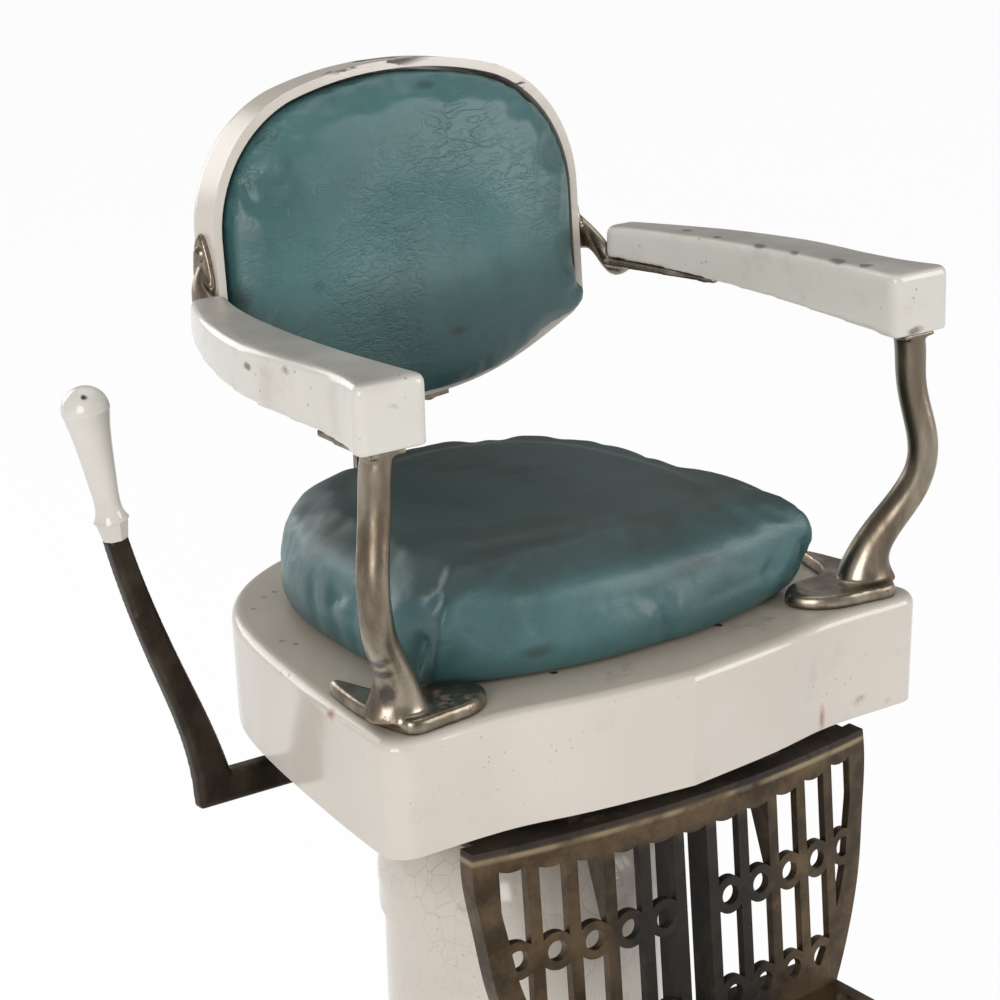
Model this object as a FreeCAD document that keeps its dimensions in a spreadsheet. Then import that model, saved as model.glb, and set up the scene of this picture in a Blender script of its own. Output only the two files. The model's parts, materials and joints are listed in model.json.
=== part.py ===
# Child's barber chair: enamelled iron seat and back on a pump column, with a pierced leg rest.
# The origin is on the floor, at the column's axis. +Z is up, the sitter faces -Y, +X is the sitter's left.
import FreeCAD, Part
import math
import os
import re

import Sketcher
from FreeCAD import Placement, Rotation, Vector

# Driving sizes in millimetres, except lean, draft and stroke, which are degrees.
SIZES = {
    # Seat level, and the seat's reach in front of the column's axis
    "seat_height": 640,
    "seat_front": 195,
    # Clearances and general details
    "running_gap": 0.05,
    "bolt_gap": 0.2,
    "soft_gap": 0.5,
    "overrun": 5,
    # Floor base
    "base_radius": 235,
    "base_rim": 18,
    "base_rim_width": 22,
    "base_shoulder_radius": 196,
    "base_shoulder_height": 42,
    "base_step": 10,
    "base_height": 90,
    "base_wall": 14,
    "base_boss_radius": 52,
    # Drum and its domed cover
    "drum_radius": 116,
    "drum_wall": 6,
    "drum_bead": 4,
    "drum_bead_height": 10,
    "cover_lip": 8,
    "cover_height": 88,
    "cover_gap": 9,
    "neck_gap": 7,
    "cover_wall": 6,
    # Pump: cylinder, gland, packing, ram and rod
    "cylinder_radius": 55,
    "cylinder_wall": 9,
    "cylinder_floor": 12,
    "flange_width": 25,
    "flange_depth": 10,
    "gland_step": 1,
    "gland_height": 14,
    "packing_height": 16,
    "ram_radius": 32,
    "ram_show": 10,
    "ram_room": 48,
    "piston_depth": 22,
    "cup_height": 8,
    "spigot_radius": 24,
    "spigot_height": 18,
    "rod_radius": 6,
    "rod_head_radius": 9,
    "rod_head_height": 8,
    "rod_gap": 0.8,
    "rod_room": 22,
    "rod_well_gap": 3,
    # Turning joint under the seat
    "washer_height": 3,
    "washer_radius": 46,
    "hub_radius": 82,
    "hub_flange_width": 20,
    "hub_flange_depth": 10,
    "hub_floor": 2,
    "crank_room": 2,
    # Lever, all at the lever axis
    "lever_drop": 27,
    "lever_back": 45,
    "journal_radius": 11,
    "journal_end": 32,
    "journal_start": 100,
    "lever_side": 7,
    "lever_flare": 69,
    "lever_rise": 219,
    "lever_foot_width": 28,
    "lever_tip_width": 17,
    "lever_bar_height": 26,
    "lever_depth": 14,
    "lever_bevel": 3,
    "crank_width": 22,
    "crank_boss_radius": 16,
    "crank_arm_height": 7,
    "crank_tip_radius": 6,
    "crank_pin_radius": 2.5,
    # Porcelain handle and its collar
    "handle_length": 105,
    "handle_lean": 9.5,
    "handle_top_radius": 18,
    "collar_height": 15,
    "collar_radius": 13,
    "collar_taper": 3,
    "tang_radius": 4,
    "tang_length": 60,
    # Seat frame, which stands a little above the skirt's rim
    "frame_lift": 6,
    "frame_beam_width": 30,
    "frame_depth": 16,
    "frame_hub_margin": 2,
    "frame_window_radius": 30,
    "frame_pad_radius": 15,
    "frame_front": 10,
    "frame_rear": 64,
    "lug_half_width": 23,
    "lug_half_depth": 6,
    # Skirt, the enamelled casting round the seat
    "skirt_half_width": 254,
    "skirt_length": 424,
    "skirt_depth": 90,
    "skirt_wall": 7,
    "skirt_bow": 29,
    "skirt_draft": 2,
    "skirt_edge": 9,
    "skirt_corner": 20,
    # Seat board and cushion
    "board_thickness": 12,
    "board_inset": 16,
    "cushion_side": 70,
    "cushion_rear": 42,
    "cushion_front": 24,
    "cushion_sweep": 38,
    "cushion_height": 86,
    "cushion_seam": 2,
    # Armrests
    "arm_rise": 178,
    "arm_gap": 22,
    "arm_front_depth": 51,
    "arm_back_depth": 27,
    "arm_droop": 8,
    "arm_side": 31.5,
    "arm_width": 60,
    "arm_start": -8,
    "arm_edge": 6.5,
    "arm_wall": 7,
    # Front posts, with a foot on the skirt and a plate under the armrest
    "post_inset": 8,
    "post_bulge": 12,
    "post_foot_shift": 22,
    "post_setback": 10,
    "post_foot_setback": 21,
    "post_half_width": 11,
    "post_half_depth": 13,
    "post_foot_half_width": 27,
    "post_foot_half_depth": 22,
    "foot_inset": 14,
    "foot_span": 92,
    "foot_run": 110,
    "foot_thickness": 11,
    "foot_edge": 6,
    "plate_thickness": 5,
    "plate_width": 30,
    "plate_length": 66,
    # Backrest: enamelled tray, board, pad
    "back_side": 38.5,
    "back_crest_rise": 116,
    "back_shoulder_width": 100,
    "back_shoulder_drop": 14,
    "back_hip_drop": 52,
    "back_hip_rise": 64,
    "back_depth": 40,
    "back_rim": 7,
    "back_wall": 5,
    "back_edge": 12,
    "back_set": 86,
    "back_level": 260,
    "back_lean": 4,
    "pad_inset": 3,
    "pad_crown": 20,
    "pad_lip": 1,
    "back_board_thickness": 8,
    # Rear brackets, from the armrests to the tray's sides
    "bracket_flange_height": 88,
    "bracket_flange_width": 26,
    "bracket_flange_thickness": 5,
    "bracket_drop": 12,
    "bracket_setback": 18,
    "bracket_plate_width": 24,
    "bracket_arm_radius": 10,
    "bracket_screw_spread": 56,
    # Back stay, from the tray's bottom to the skirt's back
    "stay_head_width": 74,
    "stay_head_depth": 24,
    "stay_thickness": 6,
    "stay_width": 34,
    "stay_rear": 22,
    "stay_knee_drop": 34,
    "stay_foot_width": 70,
    "stay_foot_depth": 24,
    # Leg rest: pierced panel and foot plate
    "panel_gap": 10,
    "panel_height": 200,
    "panel_half_width": 189,
    "panel_belly": 2,
    "panel_taper": 44,
    "panel_bow": 19,
    "panel_front": 25,
    "panel_lean": 4,
    "panel_thickness": 7,
    "panel_flange": 33.5,
    "panel_side_depth": 15,
    "panel_wall": 5,
    "panel_border": 19,
    "panel_head": 28,
    "panel_sill": 10,
    "panel_side": 11,
    "bar_width": 10,
    "ring_radius": 15,
    "ring_hole_radius": 8,
    "ring_row_high": 91,
    "ring_row_low": 173,
    "rib_depth": 26,
    "rib_width": 6,
    "gusset_drop": 92,
    "footplate_reach": 150,
    "footplate_thickness": 9,
    "footplate_corner": 24,
    "footplate_rim": 15,
    "footplate_slot_width": 14,
    # Fasteners: hexagon bolts and slotted screws
    "bolt_radius": 4,
    "bolt_head_radius": 7.5,
    "bolt_head_height": 5.3,
    "spot_depth": 1.8,
    "screw_radius": 3,
    "screw_head_radius": 6.5,
    "screw_head_height": 3,
    "screw_slot": 1.4,
    "screw_length": 14,
}

# Sizes and levels that follow from those, each written once and ahead of those that it uses.
PLACES = {
    # Pump and turning joint, from the seat down and from the base up
    "drum_top": "hub_bottom - cover_gap - cover_height",
    "cylinder_top": "ram_top - ram_show - gland_height",
    "hub_bottom": "ram_top + washer_height",
    "ram_top": "lever_height - crank_tip_radius - 7 / 15 * lever_back - spigot_height",
    "lever_height": "hub_top - lever_drop",
    "frame_top": "hub_top + frame_depth",
    "hub_top": "skirt_bottom + frame_lift",
    "skirt_bottom": "seat_height - skirt_depth",
    "ram_start": "base_height + cylinder_floor + ram_room",
    "rod_start": "base_height + cylinder_floor + rod_room",
    "base_top_radius": "drum_radius + drum_bead + base_step",
    "cylinder_bore": "cylinder_radius - cylinder_wall",
    "cover_neck_radius": "cylinder_radius + neck_gap",
    "gland_radius": "cylinder_radius - gland_step",
    "flange_radius": "cylinder_radius + flange_width",
    "rod_well_radius": "rod_head_radius + rod_well_gap",
    "frame_hub_radius": "hub_flange_radius + frame_hub_margin",
    "hub_flange_radius": "hub_radius + hub_flange_width",
    # Across the chair, from the skirt's width
    "lever_top_reach": "lever_reach + lever_flare",
    "lever_reach": "skirt_half_width + lever_side",
    "cushion_half_width": "skirt_half_width - cushion_side",
    "back_half_width": "arm_inner - back_side",
    "arm_inner": "post_top_reach - arm_side",
    "post_top_reach": "skirt_half_width - post_inset",
    "foot_reach": "skirt_half_width - foot_inset",
    # Front to back, from the skirt's length
    "arm_length": "back_front - arm_start - arm_gap",
    "back_front": "skirt_length - back_set",
    "cushion_length": "skirt_length - cushion_front - cushion_rear",
    "frame_back": "skirt_length - frame_rear",
    "stay_set_back": "skirt_length - stay_rear",
    # Levels above the seat: the backrest's from the armrests, and theirs from the cushion
    "back_top": "back_shoulder_height + back_crest_rise",
    "back_shoulder_height": "bracket_height + bracket_flange_height / 2",
    "stay_knee": "back_bottom - stay_knee_drop",
    "back_bottom": "back_hip - back_hip_rise",
    "back_hip": "bracket_height - back_hip_drop",
    "bracket_height": "arm_height - bracket_drop",
    "arm_height": "cushion_height + arm_rise",
    # The leg rest, below the seat
    "panel_top": "skirt_depth + panel_gap",
    "panel_foot_half_width": "panel_half_width - panel_taper",
    "frame_spread": "5 / 2 * bar_pitch",
    "bar_pitch": "(panel_half_width - panel_border - panel_side) / 5",
}

doc = FreeCAD.newDocument("ChildBarberChair")
sheet = doc.addObject("Spreadsheet::Sheet", "sizes")
for row, (alias, number) in enumerate(SIZES.items(), start=1):
    sheet.set(f"A{row}", alias)
    sheet.set(f"B{row}", str(number))
    sheet.setAlias(f"B{row}", alias)
doc.recompute()
pieces = []


def cells(text):
    # The expression with each place written out and each size read from the sheet.
    for place, meaning in PLACES.items():
        text = re.sub(rf"\b{place}\b", f"({meaning})", text)
    return re.sub(r"[a-z_]+", r"sizes.\g<0>", text)


def value(text):
    return float(sheet.evalExpression(cells(text)))


def keep(piece, label):
    # Gives a finished sub-part the name of its file.
    piece.Label = label
    pieces.append(piece)
    return piece


def solid(label, shape):
    # A sub-part whose shape is worked out from the sheet.
    piece = doc.addObject("Part::Feature", label)
    piece.Shape = shape
    piece.Placement = shape.Placement
    return keep(piece, label)


def turned(label, corners):
    # A body of revolution about the Z axis, from a sketch bound to the sheet.
    body = doc.addObject("PartDesign::Body", label + "_body")
    plane = next(item for item in body.Origin.OriginFeatures if item.Role == "XZ_Plane")
    sketch = body.newObject("Sketcher::SketchObject", label + "_sketch")
    sketch.AttachmentSupport = [(plane, "")]
    sketch.MapMode = "FlatFace"
    points = [Vector(value(across), value(up), 0) for across, up in corners]
    for start, end in zip(points, points[1:] + points[:1]):
        sketch.addGeometry(Part.LineSegment(start, end))
    for corner in range(len(points)):
        sketch.addConstraint(Sketcher.Constraint("Coincident", corner, 2, (corner + 1) % len(points), 1))
    for corner, expressions in enumerate(corners):
        for kind, expression, number in zip(("DistanceX", "DistanceY"), expressions, points[corner]):
            index = sketch.addConstraint(Sketcher.Constraint(kind, -1, 1, corner, 1, number))
            sketch.setExpression(f"Constraints[{index}]", cells(expression))
    feature = body.newObject("PartDesign::Revolution", label + "_turned")
    feature.Profile = sketch
    feature.ReferenceAxis = (sketch, ["V_Axis"])
    feature.Angle = 360
    sketch.Visibility = False
    return body


def box(name, low, high):
    # A block between two corners, each given as three expressions.
    block = doc.addObject("Part::Box", name)
    for side, start, end in zip(("Length", "Width", "Height"), low, high):
        block.setExpression(side, cells(f"({end}) - ({start})"))
    for axis, start in zip("xyz", low):
        block.setExpression(f"Placement.Base.{axis}", cells(start))
    return block


def rod(name, radius, length, base, along=Vector(0, 0, 1)):
    # A cylinder that starts at base, given as expressions, and runs the way of along.
    bar = doc.addObject("Part::Cylinder", name)
    bar.Placement = Placement(Vector(), Rotation(Vector(0, 0, 1), along))
    bar.setExpression("Radius", cells(radius))
    bar.setExpression("Height", cells(length))
    for axis, start in zip("xyz", base):
        bar.setExpression(f"Placement.Base.{axis}", cells(start))
    return bar


def joined(name, blocks):
    union = doc.addObject("Part::MultiFuse", name)
    union.Shapes = blocks
    return union


def cut(name, base, tools):
    # Base less all the tools.
    remainder = doc.addObject("Part::Cut", name)
    remainder.Base = base
    remainder.Tool = tools[0] if len(tools) == 1 else joined(name + "_tools", tools)
    return remainder


def face(start, *steps):
    # A closed face in the XZ plane. A step is an end point, or an arc's middle and its end.
    edges = []
    here = start
    for step in steps + (start,):
        if isinstance(step[0], tuple):
            middle, end = step
            edges.append(Part.Arc(raised(here), raised(middle), raised(end)).toShape())
        else:
            end = step
            edges.append(Part.makeLine(raised(here), raised(end)))
        here = end
    return Part.Face(Part.Wire(edges))


def raised(point):
    return Vector(point[0], 0, point[1])


def bowed(start, end, share):
    # The middle of an arc that stands off its chord by a share of the chord's length.
    across = end[0] - start[0]
    up = end[1] - start[1]
    return ((start[0] + end[0]) / 2 + share * up, (start[1] + end[1]) / 2 - share * across)


def spline(points):
    curve = Part.BSplineCurve()
    curve.interpolate([Vector(*point) for point in points])
    return curve.toShape()


def closed_curve(points):
    curve = Part.BSplineCurve()
    curve.interpolate(points, PeriodicFlag=True)
    return Part.Wire(curve.toShape())


def oval(middle, way, reference, half_across, half_along):
    # A closed oval square to way: half_across runs square to reference, half_along leans to it.
    across = way.cross(reference).normalize()
    along = across.cross(way).normalize()
    across *= half_across
    along *= half_along
    turns = [math.radians(45 * step) for step in range(8)]
    return closed_curve([middle + across * math.cos(turn) + along * math.sin(turn) for turn in turns])


def spun(profile):
    return profile.revolve(Vector(), Vector(0, 0, 1), 360)


def mirrored(shape):
    return shape.mirror(Vector(), Vector(1, 0, 0))


def column(radius, low, high, x=0.0, y=0.0):
    return Part.makeCylinder(radius, high - low, Vector(x, y, low))


def ring_of_corners(radius, sides, level):
    # A regular polygon about the Z axis.
    turns = [2 * math.pi / sides * side for side in range(sides + 1)]
    corners = [Vector(radius * math.cos(turn), radius * math.sin(turn), level) for turn in turns]
    return Part.makePolygon(corners)


def hex_bolt(seat, way, length):
    # A bolt whose head rests on seat and whose shank runs along way.
    radius = value("bolt_radius")
    head_radius = value("bolt_head_radius")
    head = value("bolt_head_height")
    shape = Part.Face(ring_of_corners(head_radius, 6, -head)).extrude(Vector(0, 0, head))
    shape = shape.fuse(Part.makeCylinder(radius, length))
    shape.Placement = Placement(seat, Rotation(Vector(0, 0, 1), way))
    return shape


def slotted_screw(seat, way, length):
    # A screw with a domed, slotted head on seat and its shank along way.
    head_radius = value("screw_head_radius")
    head = value("screw_head_height")
    slot = value("screw_slot")
    bulge_share = 0.72
    dome = face((0, 0), (0, -head), ((head_radius * bulge_share, -head * bulge_share), (head_radius, 0)))
    cutter = Part.makeBox(2 * head_radius, slot, slot, Vector(-head_radius, -slot / 2, -head))
    shape = spun(dome).cut(cutter).fuse(Part.makeCylinder(value("screw_radius"), length))
    shape.Placement = Placement(seat, Rotation(Vector(0, 0, 1), way))
    return shape


def bored(shape, places, radius, depth):
    # The shape with a hole from each place, given as a seat and a way.
    for seat, way in places:
        shape = shape.cut(Part.makeCylinder(radius, depth, seat, way))
    return shape


UP = Vector(0, 0, 1)
DOWN = Vector(0, 0, -1)
bolt_hole = value("bolt_radius + bolt_gap")
screw_hole = value("screw_radius + bolt_gap")
screw_length = value("screw_length")
diagonal_share = math.sqrt(0.5)
tiny = value("running_gap / 5")
front = -value("seat_front")
seat = value("seat_height")

# Floor base, with a boss under the pump that stands on the floor with the rim
base_radius = value("base_radius")
base_height = value("base_height")
rim_top = (base_radius, value("base_rim"))
shoulder = (value("base_shoulder_radius"), value("base_shoulder_height"))
top_edge = (value("base_top_radius"), base_height)
ceiling = value("base_height - base_wall")
rim_bulge_share = 0.12
shoulder_bulge_share = -0.1
base_profile = face(
    (0, 0),
    (value("base_boss_radius"), 0),
    (value("base_boss_radius"), ceiling),
    (value("base_top_radius - base_wall"), ceiling),
    (value("base_shoulder_radius - base_wall"), value("base_shoulder_height - base_wall")),
    (value("base_radius - base_rim_width"), 0),
    (base_radius, 0),
    rim_top,
    (bowed(rim_top, shoulder, rim_bulge_share), shoulder),
    (bowed(shoulder, top_edge, shoulder_bulge_share), top_edge),
    (0, base_height),
)
corners = ((1, 1), (-1, 1), (-1, -1), (1, -1))
pump_bolt_reach = f"(cylinder_radius + flange_radius) / 2 * {diagonal_share}"
flange_top = value("base_height + flange_depth")
pump_bolt_seats = [(Vector(across * value(pump_bolt_reach), back * value(pump_bolt_reach), flange_top), DOWN)
                   for across, back in corners]
solid("floor_base", bored(spun(base_profile), pump_bolt_seats, bolt_hole, value("flange_depth + base_wall")))
pump_bolts = [hex_bolt(place, way, value("flange_depth + base_wall")) for place, way in pump_bolt_seats]
solid("pump_bolts", Part.makeCompound(pump_bolts))

# Enamelled drum round the pump, with a bead at its foot and at its rim
keep(turned("drum", [
    ("drum_radius - drum_wall", "base_height"),
    ("drum_radius + drum_bead", "base_height"),
    ("drum_radius + drum_bead", "base_height + drum_bead_height"),
    ("drum_radius", "base_height + drum_bead_height"),
    ("drum_radius", "drum_top - drum_bead_height"),
    ("drum_radius + drum_bead", "drum_top - drum_bead_height"),
    ("drum_radius + drum_bead", "drum_top"),
    ("drum_radius - drum_wall", "drum_top"),
]), "drum")

# Domed cover on the drum
lip_foot = (value("drum_radius + drum_bead"), value("drum_top"))
lip_top = (lip_foot[0], value("drum_top + cover_lip"))
neck = (value("cover_neck_radius"), value("drum_top + cover_height"))
dome_share = 0.2
neck_inside = (neck[0], neck[1] - value("cover_wall"))
lip_inside = (lip_foot[0] - value("cover_wall"), lip_top[1] - value("cover_wall") / 2)
solid("drum_cover", spun(face(
    lip_foot,
    lip_top,
    (bowed(lip_top, neck, dome_share), neck),
    neck_inside,
    (bowed(neck_inside, lip_inside, -dome_share), lip_inside),
    (lip_inside[0], lip_foot[1]),
)))

# Pump cylinder, bolted through its flange to the base
cylinder = turned("cylinder", [
    ("0", "base_height"),
    ("flange_radius", "base_height"),
    ("flange_radius", "base_height + flange_depth"),
    ("cylinder_radius", "base_height + flange_depth"),
    ("cylinder_radius", "cylinder_top"),
    ("cylinder_bore", "cylinder_top"),
    ("cylinder_bore", "base_height + cylinder_floor"),
    ("0", "base_height + cylinder_floor"),
])
flange_holes = []
hole_length = "flange_depth + 2 * overrun"
for index, (across, back) in enumerate(corners):
    start = (f"{across} * {pump_bolt_reach}", f"{back} * {pump_bolt_reach}", "base_height - overrun")
    flange_holes.append(rod(f"flange_hole_{index}", "bolt_radius + bolt_gap", hole_length, start))
keep(cut("cylinder_drilled", cylinder, flange_holes), "pump_cylinder")

keep(turned("packing", [
    ("ram_radius + running_gap", "cylinder_top - packing_height"),
    ("cylinder_bore", "cylinder_top - packing_height"),
    ("cylinder_bore", "cylinder_top"),
    ("ram_radius + running_gap", "cylinder_top"),
]), "ram_packing")

keep(turned("gland", [
    ("ram_radius + running_gap", "cylinder_top"),
    ("gland_radius", "cylinder_top"),
    ("gland_radius", "cylinder_top + gland_height / 2"),
    ("gland_radius - gland_height / 4", "cylinder_top + gland_height"),
    ("ram_radius + running_gap", "cylinder_top + gland_height"),
]), "gland_nut")

# Ram, with the piston at its foot, a spigot at its top and the pump rod's bore through it
keep(turned("ram_turned", [
    ("rod_radius + running_gap", "ram_start"),
    ("cylinder_bore - running_gap", "ram_start"),
    ("cylinder_bore - running_gap", "ram_start + piston_depth"),
    ("ram_radius", "ram_start + piston_depth"),
    ("ram_radius", "ram_top"),
    ("spigot_radius", "ram_top"),
    ("spigot_radius", "ram_top + spigot_height"),
    ("rod_well_radius", "ram_top + spigot_height"),
    ("rod_well_radius", "ram_top"),
    ("rod_radius + running_gap", "ram_top"),
]), "ram")

keep(turned("cup", [
    ("rod_radius + running_gap", "ram_start - cup_height"),
    ("cylinder_bore - running_gap", "ram_start - cup_height"),
    ("cylinder_bore - running_gap", "ram_start"),
    ("rod_radius + running_gap", "ram_start"),
]), "piston_cup")

keep(turned("washer", [
    ("spigot_radius + running_gap", "ram_top"),
    ("washer_radius", "ram_top"),
    ("washer_radius", "hub_bottom"),
    ("spigot_radius + running_gap", "hub_bottom"),
]), "thrust_washer")

# Pump rod, pressed down by the crank's tip
keep(turned("rod_turned", [
    ("0", "rod_start"),
    ("rod_radius", "rod_start"),
    ("rod_radius", "lever_height - crank_tip_radius - rod_gap - rod_head_height"),
    ("rod_head_radius", "lever_height - crank_tip_radius - rod_gap - rod_head_height"),
    ("rod_head_radius", "lever_height - crank_tip_radius - rod_gap"),
    ("0", "lever_height - crank_tip_radius - rod_gap"),
]), "pump_rod")

# Seat hub, which turns on the ram's spigot and holds the lever's journal
hub = turned("hub", [
    ("spigot_radius + running_gap", "hub_bottom"),
    ("hub_radius", "hub_bottom"),
    ("hub_radius", "hub_top - hub_flange_depth"),
    ("hub_flange_radius", "hub_top - hub_flange_depth"),
    ("hub_flange_radius", "hub_top"),
    ("spigot_radius + running_gap", "hub_top"),
])
hub_bolt_reach = f"(hub_radius + hub_flange_radius) / 2 * {diagonal_share}"
flange_under = value("hub_top - hub_flange_depth")
hub_cuts = [
    box("crank_well",
        ("-crank_width / 2 - crank_room", "-spigot_radius", "ram_top + spigot_height + hub_floor"),
        ("crank_width / 2 + crank_room", "lever_back + crank_boss_radius + crank_room", "hub_top + overrun")),
    rod("journal_hole", "journal_radius + running_gap", "hub_flange_radius + journal_end + crank_room",
        ("-hub_flange_radius", "lever_back", "lever_height"), Vector(1, 0, 0)),
]
hub_bolt_seats = []
hole_start = "hub_top - hub_flange_depth - overrun"
hub_hole_length = "hub_flange_depth + 2 * overrun"
for index, (across, back) in enumerate(corners):
    start = (f"{across} * {hub_bolt_reach}", f"{back} * {hub_bolt_reach}", hole_start)
    hub_cuts.append(rod(f"hub_hole_{index}", "bolt_radius + bolt_gap", hub_hole_length, start))
    place = Vector(across * value(hub_bolt_reach), back * value(hub_bolt_reach), flange_under)
    hub_bolt_seats.append((place, UP))
keep(cut("hub_machined", hub, hub_cuts), "seat_hub")
hub_bolts = [hex_bolt(place, way, value("hub_flange_depth + frame_depth")) for place, way in hub_bolt_seats]
solid("hub_bolts", Part.makeCompound(hub_bolts))

# Lever: a journal in the hub, a bar out to the side and a curved, bevelled upright
lever_height = value("lever_height")
lever_back = value("lever_back")
reach = value("lever_reach")
tip_reach = value("lever_top_reach")
rise = value("lever_rise")
foot_width = value("lever_foot_width")
tip_width = value("lever_tip_width")
half_bar = value("lever_bar_height / 2")
lean_shares = ((0, 0), (0.3, 0.24), (0.52, 0.51), (0.75, 0.77), (1, 1))
outer_edge = []
inner_edge = []
for up_share, out_share in lean_shares:
    middle = -(reach + (tip_reach - reach) * out_share)
    half = (foot_width + (tip_width - foot_width) * up_share) / 2
    level = lever_height + rise * up_share
    outer_edge.append((middle - half, 0, level))
    inner_edge.append((middle + half, 0, level))
outer_edge[0] = (outer_edge[0][0], 0, lever_height - half_bar)
inner_edge[0] = (inner_edge[0][0], 0, lever_height + half_bar)
handle_lean = math.radians(value("handle_lean"))
handle_way = Vector(-math.sin(handle_lean), 0, math.cos(handle_lean))
handle_foot = Vector(-tip_reach, lever_back, lever_height + rise)
tip_side = Vector(math.cos(handle_lean), 0, math.sin(handle_lean)) * (tip_width / 2)
tip_middle = handle_foot - Vector(0, lever_back, 0)
outer_edge[-1] = tuple(tip_middle - tip_side)
inner_edge[-1] = tuple(tip_middle + tip_side)
bar_start = -value("journal_start")
bar_upper = Vector(bar_start, 0, lever_height + half_bar)
bar_lower = Vector(bar_start, 0, lever_height - half_bar)
lever_outline = Part.Wire([
    spline(outer_edge),
    Part.makeLine(Vector(*outer_edge[-1]), Vector(*inner_edge[-1])),
    spline(list(reversed(inner_edge))),
    Part.makeLine(Vector(*inner_edge[0]), bar_upper),
    Part.makeLine(bar_upper, bar_lower),
    Part.makeLine(bar_lower, Vector(*outer_edge[0])),
])
lever_depth = value("lever_depth")
lever_shape = Part.Face(lever_outline).extrude(Vector(0, lever_depth, 0))
lever_shape.translate(Vector(0, lever_back - lever_depth / 2, 0))
front_edges = [edge for edge in lever_shape.Edges if edge.BoundBox.YLength < tiny]
front_edges = [edge for edge in front_edges if edge.BoundBox.YMax < lever_back and edge.Length > foot_width]
lever_shape = lever_shape.makeChamfer(value("lever_bevel"), front_edges)
tang = Part.makeCylinder(value("tang_radius"), value("tang_length + overrun"),
                         handle_foot - handle_way * value("overrun"), handle_way)
journal = Part.makeCylinder(value("journal_radius"), value("journal_start + journal_end"),
                            Vector(bar_start, lever_back, lever_height), Vector(1, 0, 0))
pin_foot = Vector(0, lever_back, value("lever_height - crank_boss_radius"))
pin_length = value("2 * crank_boss_radius")
pin_hole = Part.makeCylinder(value("crank_pin_radius + running_gap"), pin_length, pin_foot)
solid("lever_arm", lever_shape.fuse([journal, tang]).cut(pin_hole).removeSplitter())
solid("crank_pin", Part.makeCylinder(value("crank_pin_radius"), pin_length, pin_foot))

crank = joined("crank_blank", [
    rod("crank_boss", "crank_boss_radius", "crank_width",
        ("-crank_width / 2", "lever_back", "lever_height"), Vector(1, 0, 0)),
    rod("crank_tip", "crank_tip_radius", "crank_width",
        ("-crank_width / 2", "0", "lever_height"), Vector(1, 0, 0)),
    box("crank_arm",
        ("-crank_width / 2", "0", "lever_height - crank_arm_height / 2"),
        ("crank_width / 2", "lever_back", "lever_height + crank_arm_height / 2")),
])
keep(cut("crank_drilled", crank, [
    rod("crank_bore", "journal_radius + running_gap", "crank_width + 2 * overrun",
        ("-crank_width / 2 - overrun", "lever_back", "lever_height"), Vector(1, 0, 0)),
    rod("crank_pin_hole", "crank_pin_radius + running_gap", "2 * crank_boss_radius + 2 * overrun",
        ("0", "lever_back", "lever_height - crank_boss_radius - overrun")),
]), "lever_crank")

# Handle and collar, on the lever's tang
collar_height = value("collar_height")
collar_radius = value("collar_radius")
collar_foot = collar_radius - value("collar_taper")
tang_hole = value("tang_radius + running_gap")
collar_rings = [ring_of_corners(collar_foot, 8, 0), ring_of_corners(collar_radius, 8, collar_height)]
collar = Part.makeLoft(collar_rings, True, True).cut(Part.makeCylinder(tang_hole, collar_height))
grip_radius = value("handle_top_radius")
dome_foot = value("collar_height + handle_length - handle_top_radius")
tang_end = value("tang_length + running_gap")
grip_shares = ((0.74, 0), (0.6, 0.06), (0.54, 0.15), (0.6, 0.35), (0.69, 0.56), (0.82, 0.8), (1, 1))
grip_run = dome_foot - collar_height
grip_side = [(grip_radius * out, 0, collar_height + grip_run * up) for out, up in grip_shares]
dome_middle = Vector(grip_radius * diagonal_share, 0, dome_foot + grip_radius * diagonal_share)
dome_top = Vector(0, 0, dome_foot + grip_radius)
grip = Part.Face(Part.Wire([
    spline(grip_side),
    Part.Arc(Vector(*grip_side[-1]), dome_middle, dome_top).toShape(),
    Part.makeLine(dome_top, Vector(0, 0, tang_end)),
    Part.makeLine(Vector(0, 0, tang_end), Vector(tang_hole, 0, tang_end)),
    Part.makeLine(Vector(tang_hole, 0, tang_end), Vector(tang_hole, 0, collar_height)),
    Part.makeLine(Vector(tang_hole, 0, collar_height), Vector(*grip_side[0])),
]))
for label, shape in (("handle_collar", collar), ("lever_handle", spun(grip))):
    shape.Placement = Placement(handle_foot, Rotation(UP, handle_way))
    solid(label, shape)

# Leg rest bolts and the pads that they reach, kept clear of the gussets behind the bars
gusset_reach = value("2.5 * bar_pitch")
panel_face = front - value("panel_front")
gusset_face = panel_face + value("panel_bow") * (gusset_reach / value("panel_half_width")) ** 2
flange_middle = gusset_face + value("panel_flange - 1.5 * bolt_head_radius")
legrest_bolt_seats = []
for side in (-1, 1):
    for step in (-1, 1):
        across = side * gusset_reach + step * value("bar_pitch / 2")
        level = value("seat_height - panel_top - panel_wall + spot_depth")
        legrest_bolt_seats.append((Vector(across, flange_middle, level), UP))

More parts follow.
